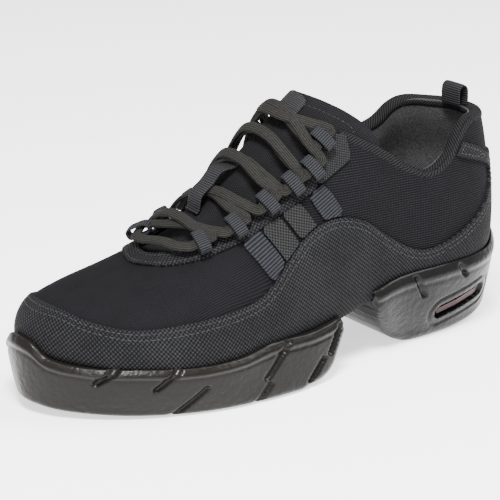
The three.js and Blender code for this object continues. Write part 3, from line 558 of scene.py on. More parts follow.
lining, tree, shader = blank("brushed_lining", (0.02, 0.02, 0.02), 0.95, 0.1, 0.05)
place, axes = object_axes(tree)
nap = uneven(tree, place, 0.0011, 2.0)
cloud = uneven(tree, place, 0.02)
knit = plain_weave(tree, axes[0], axes[2], 0.0011)
nap = maths(tree, "MULTIPLY_ADD", knit, 0.35, maths(tree, "MULTIPLY", nap, 0.65))
nap = maths(tree, "MULTIPLY", nap, maths(tree, "MULTIPLY_ADD", cloud, 0.8, 0.6))
dress(tree, shader, nap, 0.00035, (0.012, 0.012, 0.012), (0.05, 0.05, 0.05), (0.3, 0.75))

lining_room = -(wall - lining_thick) - collar_pad * pad_share(skin_bare)
lining_turn = 0.0012
inside_skin = trim(last_skin(lining_room), lambda s: -in_openings(s) + lining_turn)
ankle_lining = piece("ankle_lining", inside_skin, lining)
thicken(ankle_lining, lining_thick)
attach(ankle_lining, "root")

# The collar's binding: a soft knitted roll round the ankle opening, over the edges of shell and lining.
# It is as wide as the padded wall and thins out towards the throat.
roll_high = 0.0026
roll_drop = 0.002


def tube(p, across, up, section, capped=True):
    """A skin round a line of places p: section holds a closed outline's lengths across and up for each."""
    section = np.asarray(section, float)
    if section.ndim == 2:
        section = np.repeat(section[:, None, :], len(p), 1)
    spots = p[None] + across[None] * section[..., :1] + up[None] * section[..., 1:]
    bm = sheet(spots)
    if capped:
        rims = [e for e in bm.edges if e.is_boundary]
        bmesh.ops.holes_fill(bm, edges=rims, sides=0)
    bmesh.ops.recalc_face_normals(bm, faces=bm.faces)
    return bm


def oval(count, wide, high, power=1.0):
    """A closed oval outline, squarer with a smaller power."""
    a = np.linspace(0, 2 * math.pi, count + 1)
    across = wide * np.sign(np.cos(a)) * np.abs(np.cos(a)) ** power
    up = high * np.sign(np.sin(a)) * np.abs(np.sin(a)) ** power
    return np.stack([across, up], -1)


def rows_where(turns, low, high, past):
    """The rows at which past, a test of the last's rows at turns, comes true, found by halving."""
    low_row, high_row = np.full(turns.shape, low), np.full(turns.shape, high)
    for _ in range(30):
        middle_row = (low_row + high_row) / 2
        over = past(middle_row)
        low_row = np.where(over, low_row, middle_row)
        high_row = np.where(over, middle_row, high_row)
    return low_row


roll_turns = np.linspace(-0.24, 0.24, 321)
roll_end = 0.392


def past_collar(row):
    spots = last_point(roll_turns, row)
    return spots[:, 2] + tilt_at(spots[:, 0]) * spots[:, 1] > collar_up(spots[:, 0])


roll_rows = rows_where(roll_turns, 2.0, 9.8, past_collar)
edge_spots = last_point(roll_turns, roll_rows)
kept = along_at(edge_spots[:, 0]) < roll_end
roll_turns, roll_rows, edge_spots = roll_turns[kept], roll_rows[kept], edge_spots[kept]
roll_out = last_normal(roll_turns, roll_rows)
pad_here = wall + collar_pad * pad_share(edge_spots)
roll_run = unit(np.gradient(edge_spots, axis=0))
roll_up = unit(np.cross(roll_run, roll_out))
roll_up *= np.sign(roll_up[:, 2:])
roll_wide = pad_here / 2 + 0.0006
roll_middle = edge_spots - roll_out * (pad_here / 2)[:, None] - roll_up * roll_drop
roll_sizes = np.stack([roll_wide, np.full_like(roll_wide, roll_high)], -1)
roll_section = oval(18, 1, 1, 0.85)[:, None, :] * roll_sizes

knit_roll, tree, shader = blank("knitted_binding", (0.005, 0.005, 0.006), 0.9, 0.07)
axes = cloth_axes(tree)
slant = maths(tree, "MULTIPLY_ADD", axes[1], 0.8, axes[0])
knit = ripple(tree, slant, 0.0016)
dress(tree, shader, knit, 0.0003, (0.003, 0.003, 0.0032), (0.015, 0.015, 0.016))

binding = piece("collar_binding", tube(roll_middle, roll_out, roll_up, roll_section), knit_roll)
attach(binding, "root")

# The mudguard: one overlay of coarse canvas round the toe, the sides and the heel, with a band up to the
# collar. Its upper edge swings up at the waist and is held by a double row of stitches.
overlay_thick = 0.0011
MUDGUARD = table(
    "along up",
    (1.06, 0.362),
    (0.973, 0.353),
    (0.93, 0.318),
    (0.865, 0.293),
    (0.753, 0.3),
    (0.65, 0.318),
    (0.6, 0.352),
    (0.545, 0.43),
    (0.495, 0.493),
    (0.436, 0.52),
    (0.37, 0.492),
    (0.3, 0.405),
    (0.235, 0.349),
    (0.17, 0.362),
    (0.1, 0.41),
    (0.05, 0.465),
    (0.03, 0.53),
    (0.05, 0.582),
    (0.15, 0.645),
)
HEEL_BAND = table("along up", (0.14, 0.695), (0.08, 0.652), (0.03, 0.612), (-0.12, 0.59))
far_out = 0.3


def side_line(rows, count):
    return curve_of(np.stack([x_at(rows["along"]), rows["up"] * crest_height], -1), count)


def guard_outline(lift):
    line = [*side_line(MUDGUARD, 180), *side_line(HEEL_BAND, 30)]
    low = -far_out
    band_up = HEEL_BAND["up"][-1] * crest_height
    toe_up = MUDGUARD["up"][0] * crest_height
    corners = [(low, band_up), (low, low), (far_out, low), (far_out, toe_up)]
    return np.array([*line, *corners]) + (0, lift)


guard = guard_outline(0)


def in_guard(spots):
    by_collar = outside(over_collar, from_side(spots, True))
    return np.maximum(outside(guard, from_side(spots)), -by_collar + 0.0035)


def line_on(bm, field):
    """The lines on a skin where field is 0, each as an array of places and one of outward directions."""
    bm.normal_update()
    level = dict(zip(bm.verts, field(np.array([v.co[:] for v in bm.verts])).tolist()))
    spots, links = {}, {}
    for edge in bm.edges:
        a, b = edge.verts
        if (level[a] < 0) != (level[b] < 0):
            share = level[a] / (level[a] - level[b])
            spots[edge] = (a.co.lerp(b.co, share), a.normal.lerp(b.normal, share))
    for face in bm.faces:
        met = [edge for edge in face.edges if edge in spots]
        if len(met) == 2:
            links.setdefault(met[0], []).append(met[1])
            links.setdefault(met[1], []).append(met[0])
    lines, seen = [], set()
    starts = [e for e in links if len(links[e]) == 1] + list(links)
    for start in starts:
        if start in seen:
            continue
        line, here = [], start
        while here is not None:
            seen.add(here)
            line.append(here)
            here = next((e for e in links[here] if e not in seen), None)
        if len(line) > 4:
            lines.append([np.array([spots[e][k][:] for e in line]) for k in (0, 1)])
    return lines


def along_line(line, pitch):
    """Places at each pitch along a line, with their directions along and outwards."""
    places, outs = line
    steps = np.linalg.norm(np.diff(places, axis=0), axis=-1)
    travel = np.concatenate([[0], np.cumsum(steps)])
    at = np.arange(pitch / 2, travel[-1], pitch)

    def read(values, where):
        return np.stack([np.interp(where, travel, values[:, k]) for k in range(3)], -1)

    spots = read(places, at)
    run = unit(read(places, at + 0.0004) - spots + 1e-9)
    return spots, run, unit(read(outs, at))


def stitches(lines, pitch, long, wide):
    """Small rounded stitches along lines on a skin, sunk a little into it, as one mesh."""
    sink = 0.0001
    lying = Matrix.Rotation(math.pi / 2, 4, "Y")
    bm = bmesh.new()
    for line in lines:
        for spot, run, out in zip(*along_line(line, pitch)):
            axes = np.array([run * long, np.cross(out, run) * wide, out * wide]).T
            at = Matrix.Translation(spot - out * sink) @ Matrix(axes).to_4x4() @ lying
            bmesh.ops.create_uvsphere(bm, u_segments=8, v_segments=5, radius=0.5, matrix=at)
    for face in bm.faces:
        face.smooth = True
    bmesh.ops.recalc_face_normals(bm, faces=bm.faces)
    return bm


coarse, tree, shader = blank("mudguard_canvas", (0.005, 0.005, 0.006), 0.8, 0.07)
place, _ = object_axes(tree)
axes = cloth_axes(tree)
coarse_pitch = 0.0021
rough = plain_weave(tree, axes[0], axes[1], coarse_pitch)
fine = uneven(tree, place, 0.0012, 2.0)
rough = maths(tree, "MULTIPLY_ADD", fine, 0.35, maths(tree, "MULTIPLY", rough, 0.75))
blotch = uneven(tree, place, 0.016)
rough = maths(tree, "MULTIPLY", rough, maths(tree, "MULTIPLY_ADD", blotch, 0.5, 0.75))
dress(tree, shader, rough, 0.0004, (0.0025, 0.0025, 0.0028), (0.022, 0.022, 0.0235), (0.45, 1.0))

thread, tree, shader = blank("sewing_thread", (0.02, 0.02, 0.022), 0.5, 0.15)
place, _ = object_axes(tree)
twist = uneven(tree, place, 0.0006, 1.0)
dress(tree, shader, twist, 0.0001, (0.006, 0.006, 0.007), (0.034, 0.034, 0.037), (0.3, 0.8))

overlay_out = clearance + overlay_thick
overlay_round = 0.00035
guard_rows = (0.0018, 0.0042)
guard_stitch = {"pitch": 0.0027, "long": 0.0021, "wide": 0.0006}
guard_skin = trim(last_skin(overlay_out), in_guard)
seams = []
for inset in guard_rows:
    seams += line_on(guard_skin, lambda s: in_guard(s) + inset)
mudguard = piece("mudguard_overlay", guard_skin, coarse)
thicken(mudguard, overlay_out, overlay_round)
mudguard_seam = piece("mudguard_stitching", stitches(seams, **guard_stitch), thread)
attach(mudguard, "root")
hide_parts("mudguard")
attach(mudguard_seam, "root")

# The throat's stay: a U of the coarse canvas that stiffens the throat's edge and carries the lace loops.
# It is sewn down along both of its edges.
stay_width = 0.008
tape_front, tape_back = 0.462, 0.385


def last_over(x, y):
    """The places on the last straight above or below points of the plan, with the outward directions."""
    x, y = np.atleast_1d(x).astype(float), np.atleast_1d(y).astype(float)
    axis = column_at(THROAT, "along", "axis", along_at(x)) * ball_width
    turn = np.where(y > axis, 0.3, 0.7)
    row = np.full(x.shape, ROWS - 3.0)
    for _ in range(40):
        p = last_point(turn, row)
        a = (last_point(turn + 0.001, row) - p) * 1000
        b = (last_point(turn, row - 0.05) - p) * -20
        det = a[:, 0] * b[:, 1] - a[:, 1] * b[:, 0]
        ex, ey = x - p[:, 0], y - p[:, 1]
        turn = turn + np.clip((ex * b[:, 1] - ey * b[:, 0]) / det, -0.03, 0.03)
        row = row + np.clip((a[:, 0] * ey - a[:, 1] * ex) / det, -1, 1)
        row = np.clip(row, ROUND_ROWS + 0.5, ROWS - 0.01)
    return last_point(turn, row), last_normal(turn, row)


def throat_edge(side, along):
    axis = column_at(THROAT, "along", "axis", along)
    half = column_at(THROAT, "along", "half", along)
    return np.array([x_at(along), float(axis + side * half) * ball_width])


def edge_frame(side, along, out):
    """The throat's edge on one side, moved out by out: its place and directions ahead, across and up."""
    run = unit(throat_edge(side, along + 0.006) - throat_edge(side, along - 0.006))
    aside = np.array([-run[1], run[0]]) * side * out
    near = [throat_edge(side, along) + aside + run * shift for shift in (0, 0.004, -0.004)]
    spots, outs = last_over([p[0] for p in near], [p[1] for p in near])
    ahead = unit(spots[1] - spots[2])
    across = unit(np.cross(outs[0], ahead))
    return {"p": spots[0], "ahead": ahead, "across": across, "up": np.cross(ahead, across)}


def stay_field(width, back):
    """How far spots lie outside the throat's surround. Its steep inner edge is found from the side."""
    plan = throat_outline(width, back)
    front_up = 0.042
    steep = []
    for along in (0.69, 0.63, 0.57, 0.51, 0.45, 0.39, 0.33):
        f = edge_frame(-1, along, 0)
        low = f["p"] - f["across"] * width
        steep.append((low[0], low[2]))
    corners = [(steep[-1][0], far_up), (far_out, far_up), (far_out, front_up), (steep[0][0], front_up)]
    flank = [*curve_of(steep, 60), *corners]

    def field(spots):
        by_flank = np.where(spots[:, 1] < 0, outside(flank, from_side(spots)), -1)
        return np.maximum(outside(plan, spots[:, :2]), by_flank)

    return field


in_stay = stay_field(stay_width, x_at(tape_front))
past_stay = stay_field(stay_width + clearance, x_at(tape_front) - clearance)


def on_stay(spots):
    return np.maximum(in_stay(spots), -in_openings(spots))


stay_inset = 0.0016
stay_stitch = {"pitch": 0.0025, "long": 0.0019, "wide": 0.0005}
stay_skin = trim(last_skin(overlay_out), on_stay)
stay_lines = line_on(stay_skin, lambda s: on_stay(s) + stay_inset)
stay = piece("throat_surround", stay_skin, coarse)
thicken(stay, overlay_out, overlay_round)
stay_seam = piece("stay_stitching", stitches(stay_lines, **stay_stitch), thread)
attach(stay, "root")
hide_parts("throat_stay")
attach(stay_seam, "root")

# The webbing straps and the tape: ribbed bands that run down from the stay into the mudguard on each side.
# The second and third strap are of an open, rougher weave, and the tape closes the ankle's front corner.
web_thick = 0.0013
web_width = 0.011
strap_lean = 0.54
STRAPS = (0.608, 0.556, 0.5, 0.43)
past_tape = stay_field(stay_width + clearance, x_at(tape_back) - clearance)
in_tape = stay_field(stay_width, x_at(tape_back))
past_guard = guard_outline(3 * clearance)


def webbing_of(name, dark, light, pitch, slanted, mesh_like):
    """Webbing with crosswise ribs, or with an open rough weave where mesh_like is set."""
    material, tree, shader = blank(name, dark, 0.7, 0.08)
    place, axes = object_axes(tree)
    if slanted:
        steep = 1 / math.hypot(1, strap_lean)
        lean = strap_lean * steep
        down = maths(tree, "MULTIPLY_ADD", axes[0], lean, maths(tree, "MULTIPLY", axes[2], steep))
        aside = maths(tree, "MULTIPLY_ADD", axes[2], -lean, maths(tree, "MULTIPLY", axes[0], steep))
    else:
        flat = cloth_axes(tree)
        down, aside = flat[0], flat[1]
    if mesh_like:
        height = plain_weave(tree, down, aside, 1.2 * pitch)
    else:
        warp = ripple(tree, aside, 0.6 * pitch)
        height = maths(tree, "MULTIPLY_ADD", warp, 0.2, ripple(tree, down, pitch))
    speckle = uneven(tree, place, 0.001, 2.0)
    height = maths(tree, "MULTIPLY_ADD", speckle, 0.3, maths(tree, "MULTIPLY", height, 0.75))
    dress(tree, shader, height, 0.0004, dark, light, (0.3, 0.95))
    return material


strap_rib = webbing_of("ribbed_webbing", (0.003, 0.003, 0.004), (0.02, 0.021, 0.025), 0.0014, True, False)
strap_mesh = webbing_of("rough_webbing", (0.003, 0.003, 0.003), (0.024, 0.024, 0.025), 0.0015, True, True)
tape_rib = webbing_of("tape_webbing", (0.003, 0.003, 0.0035), (0.021, 0.021, 0.022), 0.0013, True, True)

web_out = clearance + web_thick
strap_half = web_width / 2 * math.hypot(1, strap_lean)
for side, side_name in ((1, "outer"), (-1, "inner")):
    for i, along in enumerate(STRAPS):
        low, high = 0.2, 0.85
        middle = {up: x_at(along) + (up - 0.5) * crest_height * strap_lean for up in (low, high)}
        quad = [
            (middle[low] - strap_half, low * crest_height),
            (middle[low] + strap_half, low * crest_height),
            (middle[high] + strap_half, high * crest_height),
            (middle[high] - strap_half, high * crest_height),
        ]

        def on_strap(spots):
            flat = from_side(spots)
            parts = [
                outside(quad, flat),
                -side * spots[:, 1],
                -past_stay(spots),
                -past_tape(spots),
                -outside(past_guard, flat),
                -in_openings(spots),
            ]
            return np.max(parts, axis=0)

        strap_web = strap_mesh if i in (1, 2) else strap_rib
        strap = piece(f"side_strap_{i + 1}_{side_name}", trim(last_skin(web_out), on_strap), strap_web)
        thicken(strap, web_thick, 0.0003)
        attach(strap, "root")
        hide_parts(f"strap_{i + 1}_{side_name}")

    def on_tape(spots):
        parts = [in_tape(spots), -side * spots[:, 1], -past_stay(spots), -in_openings(spots)]
        return np.max(parts, axis=0)

    tape = piece(f"ankle_tape_{side_name}", trim(last_skin(web_out), on_tape), tape_rib)
    thicken(tape, web_thick, 0.0003)
    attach(tape, "root")
    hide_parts(f"tape_{side_name}")

# The board and the insole: a stiffened textile board closes the upper underneath and shows at the arch.
# The insole is a soft sock that lies on it, inside the lining.
insole_thick = 0.0036
facet_room = 4 * clearance
insole_low = wall + 2 * clearance
insole_high = insole_low + insole_thick


def inside_inset(height):
    round_in = feather_round - wall
    down = min(round_in, feather_round - height)
    return feather_round - math.sqrt(round_in * round_in - down * down)


def plate(levels, shares):
    """A closed plate that follows the last's bottom edge: levels are pairs of height and inset."""
    s = edge_at(skin_turns)
    rings = []
    for up, inset in levels:
        rings.append(np.stack([s["x"] - s["out_x"] * inset, s["y"] - s["out_y"] * inset, s["z"] + up], -1))
    low, high = rings[0], rings[-1]
    middle = [(ring + ring[::-1]) / 2 for ring in (low, high)]
    rows = [middle[0] + (low - middle[0]) * share for share in shares[:-1]]
    rows += rings
    rows += [middle[1] + (high - middle[1]) * share for share in shares[-2::-1]]
    bm = sheet(np.array(rows))
    bmesh.ops.recalc_face_normals(bm, faces=bm.faces)
    return bm


plate_shares = np.linspace(0, 1, 14)
board_inset = feather_round + clearance
board_levels = [(-clearance - overlay_thick, board_inset), (wall, board_inset)]
board = piece("bottom_board", plate(board_levels, plate_shares), canvas)
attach(board, "root")
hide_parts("board")
low_inset = inside_inset(insole_low) + facet_room
high_inset = inside_inset(insole_high) + facet_room
insole_round = 0.001
insole_levels = [
    (insole_low, low_inset),
    (insole_high - insole_round, high_inset),
    (insole_high, high_inset + insole_round),
]
insole = piece("insole_sock", plate(insole_levels, plate_shares), lining)
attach(insole, "root")
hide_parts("insole")

# The tongue: a padded leaf of mesh cloth that wraps the instep under the throat's edges and swells up
# between them. A line of stitches runs round inside its rim, and a plain woven label with a stitched
# border lies on its top.
tongue_thick = 0.005
tongue_rise = 0.0034
tongue_lap = 0.006
tongue_seat = wall + clearance
TONGUE = table(
    "along up",
    (0.8, 0.3),
    (0.8, 0.7),
    (0.56, 1.1),
    (0.485, 0.935),
    (0.46, 0.905),
    (0.42, 0.885),
    (0.36, 0.825),
    (0.315, 0.745),
    (0.3, 0.64),
    (0.37, 0.6),
    (0.47, 0.55),
    (0.57, 0.45),
    (0.68, 0.36),
    (0.8, 0.3),
)


def swell_share(spots):
    along = along_at(spots[..., 0])
    half = np.maximum(0.001, column_at(THROAT, "along", "half", along) * ball_width)
    off = np.abs(spots[..., 1] - column_at(THROAT, "along", "axis", along) * ball_width) / half
    return (1 - smooth_step(0.35, 0.75, off)) * (1 - smooth_step(0.66, 0.72, along))


tongue_side = side_line(TONGUE, 200)[:-1]
tongue_plan = throat_outline(tongue_lap, x_at(0.29))


def on_tongue(spots):
    return np.maximum(outside(tongue_side, from_side(spots)), outside(tongue_plan, spots[:, :2]))


tongue_out = -tongue_seat + tongue_rise * swell_share(skin_bare)
tongue_skin = trim(last_skin(tongue_out), on_tongue)
tongue_inset = 0.005
tongue_stitch = {"pitch": 0.0026, "long": 0.002, "wide": 0.0005}
tongue_lines = line_on(tongue_skin, lambda s: on_tongue(s) + tongue_inset)

tongue_mesh, tree, shader = blank("tongue_mesh", (0.005, 0.005, 0.006), 0.85, 0.07)
place, axes = object_axes(tree)
slope = maths(tree, "SUBTRACT", axes[2], axes[0])
knit = plain_weave(tree, slope, axes[1], 0.0014)
cloud = uneven(tree, place, 0.014)
knit = maths(tree, "MULTIPLY", knit, maths(tree, "MULTIPLY_ADD", cloud, 0.6, 0.7))
dress(tree, shader, knit, 0.0003, (0.0028, 0.0028, 0.003), (0.014, 0.014, 0.0155))

tongue = piece("padded_tongue", tongue_skin, tongue_mesh)
thicken(tongue, tongue_thick - 0.0004, 0.0014, 3)
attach(tongue, "root")
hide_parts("tongue")
tongue_seam = piece("tongue_stitching", stitches(tongue_lines, **tongue_stitch), thread)
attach(tongue_seam, "root")

label_along = 0.449
label_long, label_wide, label_thick = 0.011, 0.015, 0.0009
label_middle = np.array([x_at(label_along), column_at(THROAT, "along", "axis", label_along) * ball_width])


def on_label(spots):
    away = np.abs(spots[:, :2] - label_middle) - (label_long / 2, label_wide / 2)
    return away.max(1)


label_cloth = webbing_of("label_cloth", (0.006, 0.006, 0.007), (0.03, 0.03, 0.032), 0.0009, False, False)
label_skin = trim(last_skin(tongue_out + clearance + label_thick), on_label)
label_inset = 0.0015
label_stitch = {"pitch": 0.0016, "long": 0.0013, "wide": 0.0004}
label_lines = line_on(label_skin, lambda s: on_label(s) + label_inset)
label = piece("plain_label", label_skin, label_cloth)
thicken(label, label_thick, 0.0002)
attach(label, "root")
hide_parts("tongue_label")
label_seam = piece("label_stitching", stitches(label_lines, **label_stitch), thread)
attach(label_seam, "root")

# The soles: two glossy pods of cast polyurethane, one under the forefoot and one under the heel, cemented
# round the upper's edge. Slashes run down their sides, and a slot with a ring groove lies in the heel's.
sole_top = 0.042
sole_flare = 0.006
sole_round = 0.004
groove_deep = 0.0016
slash_wide = 0.0022
slot_deep = 0.0042
slot_high = 0.008
tread_deep = 0.0022
tread_wide = 0.0032
SOLE = table(
    "way top under flare foot",
    (0, 1.3, 1.4, 1.4, 0.9),
    (0.05, 1.16, 1, 1.15, 0.5),
    (0.1, 1.02, 0.45, 0.95, -0.3),
    (0.17, 1, 0.05, 0.85, -1.1),
    (0.25, 1, 0, 0.85, -1.3),
    (0.34, 0.96, 0, 0.85, -1.2),
    (0.42, 0.78, 0, 0.85, 0.4),
    (0.5, 0.67, 0, 1.1, 1.1),
    (0.58, 0.67, 0, 1, 0.95),
    (0.64, 0.61, 0, 1.1, 0.5),
    (0.72, 0.595, 0, 1.05, 0),
    (0.8, 0.63, 0.12, 1, -0.1),
    (0.88, 0.66, 0.35, 1.05, 0.1),
    (0.94, 0.73, 0.55, 1.1, 0.4),
    (0.97, 0.87, 0.7, 1.15, 0.55),
    (1, 0.9, 0.8, 1.15, 0.65),
)
WALL = [
    (0, 0, 1),
    (0.06, 0, 0.25),
    (0.17, 0.08, 0),
    (0.45, 0.5, 0),
    (0.74, 0.86, 0.05),
    (0.82, 0.95, 0.16),
    (0.9, 1, 0),
    (1, 1, 0.4),
]
FORE_END = table(
    "along up",
    (0.455, 1.5),
    (0.446, 0.8),
    (0.437, 0.55),
    (0.445, 0.32),
    (0.465, 0.13),
    (0.493, 0.03),
    (0.53, 0),
)
HEEL_END = table(
    "along up",
    (0.37, 1.5),
    (0.357, 0.95),
    (0.343, 0.72),
    (0.329, 0.5),
    (0.302, 0.27),
    (0.262, 0.08),
    (0.238, 0),
)
SLASHES = table(
    "start high stop low",
    (0.912, 0.65, 0.941, 0.49),
    (0.81, 0.62, 0.849, 0.388),
    (0.761, 0.337, 0.813, 0),
    (0.582, 0.64, 0.633, 0.301),
    (0.626, 0.217, 0.66, -0.05),
    (0.498, 0.32, 0.53, 0.113),
    (0.451, 0.64, 0.478, 0.368),
    (0.252, 0.93, 0.225, 0.67),
    (0.138, 0.934, 0.12, 0.8),
)
SLOT = ((0.165, 0.35), (0.056, 0.47))
FORE_TREAD = (0.6, 0.66, 0.72, 0.78, 0.84)
HEEL_TREAD = (0.13, 0.21)


def segment_gap(flat, start, stop):
    """How far flat spots lie from a straight line between two points."""
    start, stop = np.array(start), np.array(stop)
    run = stop - start
    share = np.clip(((flat - start) @ run) / (run @ run), 0, 1)
    return np.linalg.norm(flat - start - share[..., None] * run, axis=-1)


def end_outline(rows, far, top):
    """What a pod keeps of the soles, as an outline from the side that ends at its curved end."""
    line = side_line({"along": rows["along"], "up": rows["up"] * sole_top / crest_height}, 48)
    return np.array([*line[:-1], (line[-1][0], -0.01), (far, -0.01), (far, far_up), (x_at(top), far_up)])


fore_outline = end_outline(FORE_END, far_out, 0.455)
heel_outline = end_outline(HEEL_END, -far_out, 0.37)
end_round = 0.006


def wall_dents(spots, up):
    """How deep the soles' wall is cut by slashes, slot and ring groove, and rounded at the pods' ends."""
    flat = spots[..., [0, 2]]
    in_pods = [-outside(outline, flat.reshape(-1, 2)) for outline in (fore_outline, heel_outline)]
    near = 1 - np.clip(np.max(in_pods, axis=0).reshape(flat.shape[:-1]) / end_round, 0, 1)
    rounded = end_round * (1 - np.sqrt(1 - near**2)) * (1 - 0.75 * smooth_step(0.45, 0.8, up))
    dents = np.zeros(flat.shape[:-1])
    for i in range(len(SLASHES["start"])):
        s = {key: column[i] for key, column in SLASHES.items()}
        ends = np.array([(x_at(s["start"]), s["high"] * sole_top), (x_at(s["stop"]), s["low"] * sole_top)])
        run = unit(ends[1] - ends[0])
        lip = ends + np.array([run[1], -run[0]]) * 1.5 * slash_wide
        gap, lip_gap = segment_gap(flat, *ends), segment_gap(flat, *lip)
        dents = dents + 1.3 * groove_deep * (1 - smooth_step(0.2 * slash_wide, slash_wide, gap))
        dents = dents - 0.6 * groove_deep * (1 - smooth_step(0.1 * slash_wide, slash_wide, lip_gap))
    slot_ends = [(x_at(along), height * sole_top) for along, height in SLOT]
    slot_gap = segment_gap(flat, *slot_ends) - slot_high / 2
    dents = np.maximum(dents, slot_deep * (1 - smooth_step(-0.0007, 0.0003, slot_gap)))
    ring_gap = np.abs(slot_gap - 2.5 * groove_deep)
    return dents + rounded + groove_deep / 2 * (1 - smooth_step(0.0002, 0.0014, ring_gap))


def tread_rise(spots):
    """How deep the grooves of the tread are cut up into the soles' bottom."""
    along = along_at(spots[..., 0])
    middle = (column_at(LAST, "along", "lateral", along) + column_at(LAST, "along", "medial", along)) / 2
    off = np.abs(spots[..., 1] - middle * ball_width)
    rise = np.zeros(along.shape)
    for grooves, half in ((FORE_TREAD, 0.3 * ball_width), (HEEL_TREAD, 0.14 * ball_width)):
        for groove in grooves:
            gap = np.maximum(np.abs(spots[..., 0] - x_at(groove)) - tread_wide / 2, off - half)
            rise = np.maximum(rise, tread_deep * (1 - smooth_step(-0.0006, 0.0004, gap)))
    return rise


SOLE_COLUMNS = 900
WALL_ROWS = 88
sole_turns = turns_round(SOLE_COLUMNS)
rim = edge_at(sole_turns)
way = 1 - np.abs(1 - 2 * sole_turns)
profile = {key: column_at(SOLE, "way", key, way) for key in ("top", "under", "flare", "foot")}
wall_curve = curve_of(WALL, 700)
wall_travel = np.cumsum(np.linalg.norm(np.diff(wall_curve * (1, 0.12, 0.1), axis=0, prepend=0), axis=-1))
wall_place = np.linspace(0, wall_travel[-1], WALL_ROWS)
wall_rows = np.stack([np.interp(wall_place, wall_travel, wall_curve[:, k]) for k in range(3)], -1)
wall_spots = []
for up, mix, inset in wall_rows:
    out = (profile["foot"] + (profile["flare"] - profile["foot"]) * mix) * sole_flare - inset * sole_round
    low = profile["under"] * sole_flare
    height = low + (profile["top"] * sole_top - low) * up
    wall_spots.append(np.stack([rim["x"] + rim["out_x"] * out, rim["y"] + rim["out_y"] * out, height], -1))
wall_spots = np.array(wall_spots)
inwards = -np.stack([rim["out_x"], rim["out_y"], np.zeros_like(rim["out_x"])], -1)
wall_spots = wall_spots + inwards * wall_dents(wall_spots, wall_rows[:, :1])[..., None]
seat_out = 2 * clearance + overlay_thick
rim_up = wall_spots[-1][:, 2]
rim_bead = 0.0004


def seat_at(rows):
    """Places where the soles meet the upper: the last with its layers and a little room over it."""
    return last_point(sole_turns, rows) + last_normal(sole_turns, rows) * seat_out


def towards_middle(ring, shares):
    """Rings from a ring of places to its long middle line, at shares of the way back out."""
    middle = (ring + ring[::-1]) / 2
    return np.array([middle + (ring - middle) * share for share in shares])


seat_top = rows_where(sole_turns, 0.0, 7.0, lambda row: seat_at(row)[:, 2] > rim_up)
seat_spots = seat_at(seat_top * np.linspace(1, 0, 9)[:, None])
floor_spots = towards_middle(seat_spots[-1], np.linspace(1, 0, 7)[1:])
under_spots = towards_middle(wall_spots[0], np.linspace(0, 1, 24)[:-1])
under_spots[..., 2] += tread_rise(under_spots)
rim_spots = (wall_spots[-1] + seat_spots[0])[None] / 2 + (0, 0, rim_bead)
whole = sheet(np.concatenate([under_spots, wall_spots, rim_spots, seat_spots, floor_spots]))
bmesh.ops.recalc_face_normals(whole, faces=whole.faces)


def prism(outline, reach):
    """A straight block drawn through along Y from an outline seen from the side."""
    bm = bmesh.new()
    corners = [bm.verts.new((x, -reach, z)) for x, z in outline]
    face = bm.faces.new(corners)
    pulled = bmesh.ops.extrude_face_region(bm, geom=[face])["geom"]
    moved = [v for v in pulled if isinstance(v, bmesh.types.BMVert)]
    bmesh.ops.translate(bm, verts=moved, vec=(0, 2 * reach, 0))
    bmesh.ops.recalc_face_normals(bm, faces=bm.faces)
    return bm


def common(made, cutter):
    """Keeps of a piece what lies inside a cutter, which is then thrown away."""
    cut = made.modifiers.new("cut", "BOOLEAN")
    cut.operation = "INTERSECT"
    cut.solver = "EXACT"
    cut.object = cutter
    evaluated = made.evaluated_get(bpy.context.evaluated_depsgraph_get())
    mesh = bpy.data.meshes.new_from_object(evaluated)
    made.modifiers.clear()
    made.data = mesh
    bpy.data.objects.remove(cutter)
    mesh.set_sharp_from_angle(angle=math.radians(50))
    return made


sole_gloss, tree, shader = blank("cast_sole", (0.005, 0.005, 0.005), 0.25, 0.1)
shader.inputs["Coat Weight"].default_value = 0.04
shader.inputs["Coat Roughness"].default_value = 0.1
place, axes = object_axes(tree)
smoke = uneven(tree, place, 0.03)
toe_range = {"Value": axes[0], "From Min": x_at(0.2), "From Max": x_at(0.85)}
toe_share = node(tree, "MapRange", toe_range).outputs[0]
tint = mixed(tree, toe_share, (0.004, 0.004, 0.004, 1), (0.009, 0.0075, 0.0058, 1))
tree.links.new(mixed(tree, smoke, tint, (0.003, 0.003, 0.003, 1)), shader.inputs["Base Color"])
grain = uneven(tree, place, 0.003, 4.0)
gloss = node(tree, "MapRange", {"Value": smoke, "To Min": 0.22, "To Max": 0.4}).outputs[0]
tree.links.new(gloss, shader.inputs["Roughness"])
bump = node(tree, "Bump", {"Height": grain, "Distance": 0.0007, "Strength": 0.6})
tree.links.new(bump.outputs["Normal"], shader.inputs["Normal"])

for end, outline in (("fore", fore_outline), ("heel", heel_outline)):
    pod = common(piece(f"pod_{end}", whole.copy(), sole_gloss), piece("cutter", prism(outline, 0.09)))
    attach(pod, "root")
    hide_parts(f"sole_{end}")
whole.free()

slot_tint, tree, shader = blank("slot_tint", (0.02, 0.003, 0.004), 0.3, 0.08)
smoke = uneven(tree, object_axes(tree)[0], 0.006)
shade = mixed(tree, smoke, (0.026, 0.003, 0.004, 1), (0.01, 0.002, 0.003, 1))
tree.links.new(shade, shader.inputs["Base Color"])
for side_name in ("outer", "inner"):
    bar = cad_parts[f"slot_bar_{side_name}"]
    bar.data.materials.clear()
    bar.data.materials.append(slot_tint)

